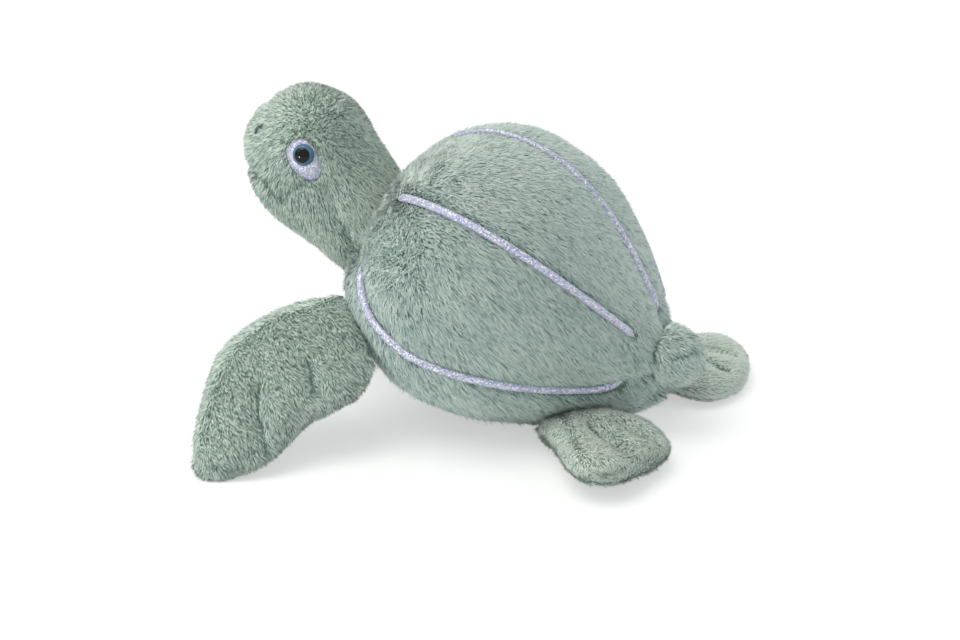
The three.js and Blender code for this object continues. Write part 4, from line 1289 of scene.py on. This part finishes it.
def make_tail():
    bag = Bag(32, 44, lambda share, turn: tail_point(share, turn, SKIN_INSET * 0.8))
    gap = tail_gap(bag.points)
    drop = np.array([0, 3.2, -1.6]) * smooth(0.35, 0.8, bag.share)[:, None]
    bag.move(bag.points + drop)
    bag.stuff(0.2 + 0.8 * bell(gap, 3.0), 1.2, 1.6)
    bag.push(-1.5 * bell(gap, 2.6))
    whole = np.ones(len(bag.faces), bool)
    cover = bag.cover("tail", whole)
    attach(cover, "turtle")

    def comb(points, normals):
        return np.array([0, 0.8, -0.6]) + 0 * points

    def groove(points):
        return 1.8 * tail_gap(points) - 0.35

    def open_to_view(points):
        return body_place(points, 2.0)[2] > 1

    thick = np.full(len(bag.faces), 3.2)
    where = ("tail_pile", bag, whole, thick, 500)
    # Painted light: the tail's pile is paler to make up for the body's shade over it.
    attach(pile(*where, (4.8, 26, 0.4), comb, groove, open_to_view, light=0.12), "turtle")
    return bag


# ---------------------------------------------------------------- flippers
QUILTING = {
    "front": [
        [(0.521, -0.16), (0.554, -0.248), (0.577, -0.339), (0.598, -0.494), (0.622, -0.649)],
        [(0.266, -0.143), (0.281, -0.262), (0.294, -0.367), (0.282, -0.418)],
    ],
    "rear": [
        [(0.315, -0.179), (0.495, -0.28), (0.661, -0.373), (0.752, -0.439)],
        [(0.346, -0.46), (0.451, -0.582), (0.536, -0.719)],
    ],
}


def quilting_gap(kind, local):
    """Distance to the nearest quilting line, over the flipper's plan."""
    scale = np.array([kind["span"], kind["chord"], 0])
    lines = [along_line([(*corner, 0) for corner in run]) * scale for run in QUILTING[kind["name"]]]
    return near(local * np.array([1, 1, 0]), np.vstack(lines))


ROOT_CAP = 0.05


def make_flipper_bag(kind):
    def place(share, turn):
        row = np.clip((share - ROOT_CAP) / (1 - ROOT_CAP), 0, 1)
        points = flipper_local(kind, row, turn, kind["inset"])
        middle = (flipper_local(kind, 0, 0, 0) + flipper_local(kind, 0, 180, 0)) / 2
        shut = np.clip(1 - share / ROOT_CAP, 0, 1)[:, None]
        return points + (middle - points) * shut

    bag = Bag(64, 64, place)
    thick = place(bag.share, 90.0)[:, 2] - place(bag.share, 270.0)[:, 2]
    bag.filled = np.minimum(2.2, 0.2 * np.abs(thick))
    gap = quilting_gap(kind, bag.points)
    points = bag.points.copy()
    points[:, 2] *= 1 - kind["pinch"] * bell(gap, 2.8)
    if kind["name"] == "rear":
        way, back = points[:, 0] / kind["span"], np.clip(-points[:, 1] / kind["chord"], 0, 1)
        top = np.clip(-points[:, 2] / 4, 0, 1)
        raised = 7.5 * smooth(-0.05, 0.12, way) * smooth(0.6, 0.2, way) * smooth(1.3, 0.3, back)
        points[:, 2] -= top * (raised + 2.5 * smooth(0.3, 0.7, way))
    bag.move(points)
    held = 1 - smooth(0.8, 4.5, gap)
    held = np.maximum(held, 1 - smooth(2, 12, bag.points[:, 0]))
    edge = np.abs(np.sin(np.radians(bag.turn)))
    held = np.maximum(held, 1 - smooth(0.02, 0.3, edge))
    bag.stuff(held, 1.8, 2.6)
    return bag


def hung(kind, points, word):
    """The rear flippers hang differently.

    The left one's rear corner is drawn in and the right one's front corner is drawn out.
    """
    if kind["name"] == "front":
        return points
    points = points.copy()
    way, back = points[:, 0] / kind["span"], np.clip(-points[:, 1] / kind["chord"], 0, 1)
    points[:, 1] -= 7 * smooth(6, 21, points[:, 1]) * smooth(18, 2, points[:, 0])
    corner = smooth(0.35, 0.8, back) * smooth(0.45, 0.9, way)
    points[:, 0] -= (5.5 if word == "left" else -1) * corner
    points[:, 1] += (-1.0 if word == "left" else -2.5) * smooth(0.3, 0.8, back) * smooth(0.15, 0.35, way)
    if word == "right":
        front = smooth(-8, 8, points[:, 1]) * smooth(0.55, 0.95, way)
        points[:, 0] += 6 * front
        points[:, 1] += 6 * front
    return points


class PlacedBag:
    """A flipper's bag set on one side of the body, settled on the floor."""

    def __init__(self, bag, points, pose, side):
        self.faces, self.face_of = bag.faces, bag.face_of
        self.triangles = bag.triangles if side > 0 else bag.triangles[:, ::-1]
        self.ball = bag.ball.copy()
        if side < 0:
            bmesh.ops.reverse_faces(self.ball, faces=self.ball.faces[:])
        self.local = points
        self.move(settled_on_floor(flipper_placed(points, pose, side), FLIPPER_REST))

    move = Bag.move
    corners = Bag.corners
    normals = Bag.normals
    centres = Bag.centres
    cover = Bag.cover
    panel = Bag.panel


def make_flippers():
    for kind in (FRONT_FLIPPER, REAR_FLIPPER):
        shape = make_flipper_bag(kind)
        for side, word in ((1, "left"), (-1, "right")):
            pose = flipper_basis(kind, word)
            bag = PlacedBag(shape, hung(kind, shape.points, word), pose, side)
            body = f"{kind['name']}_{word}_flipper"
            hinge, basis = pose
            mirror = np.array([side, 1, 1])
            start, end = (hinge - basis[0] * 3) * mirror * MM, (hinge + basis[0] * 9) * mirror * MM
            local = np.array([bag.local[f].mean(0) for f in bag.faces])
            lower = local[:, 2] > 0
            parts = [("upper", ~lower), ("lower", lower)]
            pieces = []
            for layer, faces in parts:
                name = f"{body}_{layer}"
                pieces.append(bag.cover(name, faces))
            pieces.append(filling(body, bag, shape.filled))

            def to_local(points):
                return (points * mirror - hinge) @ basis.T

            def comb(points, normals):
                span, chord = kind["comb"]
                front = smooth(0.2, 0.8, (normals * mirror) @ basis[1])[:, None]
                tip = smooth(0.2, 0.8, (normals * mirror) @ basis[0])[:, None]
                combed = basis[0] * (span + 0.7 * front + 1.1 * tip) + basis[1] * (chord + 1.5 * front)
                return combed * mirror

            def groove(points):
                q = to_local(points)
                rate, first = kind["trim"][word]
                return np.where(q[:, 2] < 0, rate * quilting_gap(kind, q) + first, 9.0)

            def open_to_view(points):
                return body_place(points, 2.5)[2] > 1

            # Painted light and shade: the rear flippers are paler, most at the root where the body shades
            # them; the front ones darken towards the tip.
            def light(points):
                way = to_local(points)[:, 0] / kind["span"]
                return -0.04 - 0.1 * way if kind["name"] == "front" else 0.22 + 0.12 * smooth(0.5, 0.1, way)

            for k, (layer, faces) in enumerate(parts):
                thick = np.full(len(faces), kind["density"])
                if layer == "lower":
                    thick = np.where(local[:, 2] < 4, 3.0, 0.9)
                seed = 600 + 100 * (kind["name"] == "rear") + 40 * (side < 0) + 20 * k
                where = (f"{body}_{layer}_pile", bag, faces, thick, seed)
                pieces.append(pile(*where, kind["lay"], comb, groove, open_to_view, light=light))
            for made in pieces:
                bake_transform(made)


# ---------------------------------------------------------------- studio
def make_studio():
    scene = bpy.context.scene
    scene.view_settings.view_transform = "Standard"
    target = Vector((22.65 * MM, (BODY_CENTRE[1] - 20.5) * MM, 60 * MM))
    azimuth, elevation, distance = math.radians(112), math.radians(22), 1.27
    level = math.cos(elevation)
    back = Vector((math.sin(azimuth) * level, -math.cos(azimuth) * level, math.sin(elevation)))
    camera = bpy.data.objects.new("camera", bpy.data.cameras.new("camera"))
    scene.collection.objects.link(camera)
    camera.data.lens, camera.data.sensor_width = 85, 36
    camera.location = target + back * distance
    camera.rotation_mode = "QUATERNION"
    camera.rotation_quaternion = (-back).to_track_quat("-Z", "Y")
    camera.data.clip_start, camera.data.clip_end = 0.05, 20
    scene.camera = camera

    ground = bmesh.new()
    bmesh.ops.create_grid(ground, x_segments=1, y_segments=1, size=4)
    floor = bpy.data.objects.new("floor", mesh_of(ground, "floor"))
    scene.collection.objects.link(floor)
    floor.data.materials.append(paper_finish())

    scene.world = bpy.data.worlds.new("studio")
    air = Nodes(scene.world)
    rays = air.node("ShaderNodeLightPath")
    seen = air.value(rays.outputs["Is Camera Ray"])
    seen = seen.math("MAXIMUM", seen, air.value(rays.outputs["Is Transmission Ray"]))
    ambient = air.node("ShaderNodeBackground", None, {0: (0.92, 0.97, 1.0, 1), 1: 0.78})
    white = air.node("ShaderNodeBackground", None, {0: (1, 1, 1, 1), 1: 1.0})
    both = air.node("ShaderNodeMixShader", None, {0: seen, 1: ambient.outputs[0], 2: white.outputs[0]})
    air.node("ShaderNodeOutputWorld", None, {0: both.outputs[0]})

    sun = bpy.data.lights.new("overhead_light", "SUN")
    sun.energy, sun.angle, sun.color = 1.55, math.radians(45), (1.0, 0.975, 0.9)
    made = bpy.data.objects.new("overhead_light", sun)
    scene.collection.objects.link(made)
    made.rotation_mode = "QUATERNION"
    made.rotation_quaternion = Vector((-0.3, 0.25, -1.0)).to_track_quat("-Z", "Y")
    lamp("side_softbox", (0.9, -0.9, 0.9), 0.35, 1.0, (1.0, 0.99, 0.97))
    lamp("eye_light", (1.155, -0.52, 0.04), 0.12, 3.2, (1.0, 1.0, 1.0))


def lamp(name, place, size, power, colour):
    light = bpy.data.lights.new(name, "AREA")
    light.shape, light.size, light.energy, light.color = "DISK", size, power, colour
    made = bpy.data.objects.new(name, light)
    bpy.context.scene.collection.objects.link(made)
    made.location = place
    aim = Vector((0, 0.02, 0.06)) - Vector(place)
    made.rotation_mode = "QUATERNION"
    made.rotation_quaternion = aim.to_track_quat("-Z", "Y")


make_studio()
body_bag = make_body()
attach(filling("body", body_bag), "turtle")
make_piping()
head_bag = make_head()
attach(filling("head", head_bag), "turtle")
make_face()
tail_bag = make_tail()
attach(filling("tail", tail_bag), "turtle")
make_flippers()
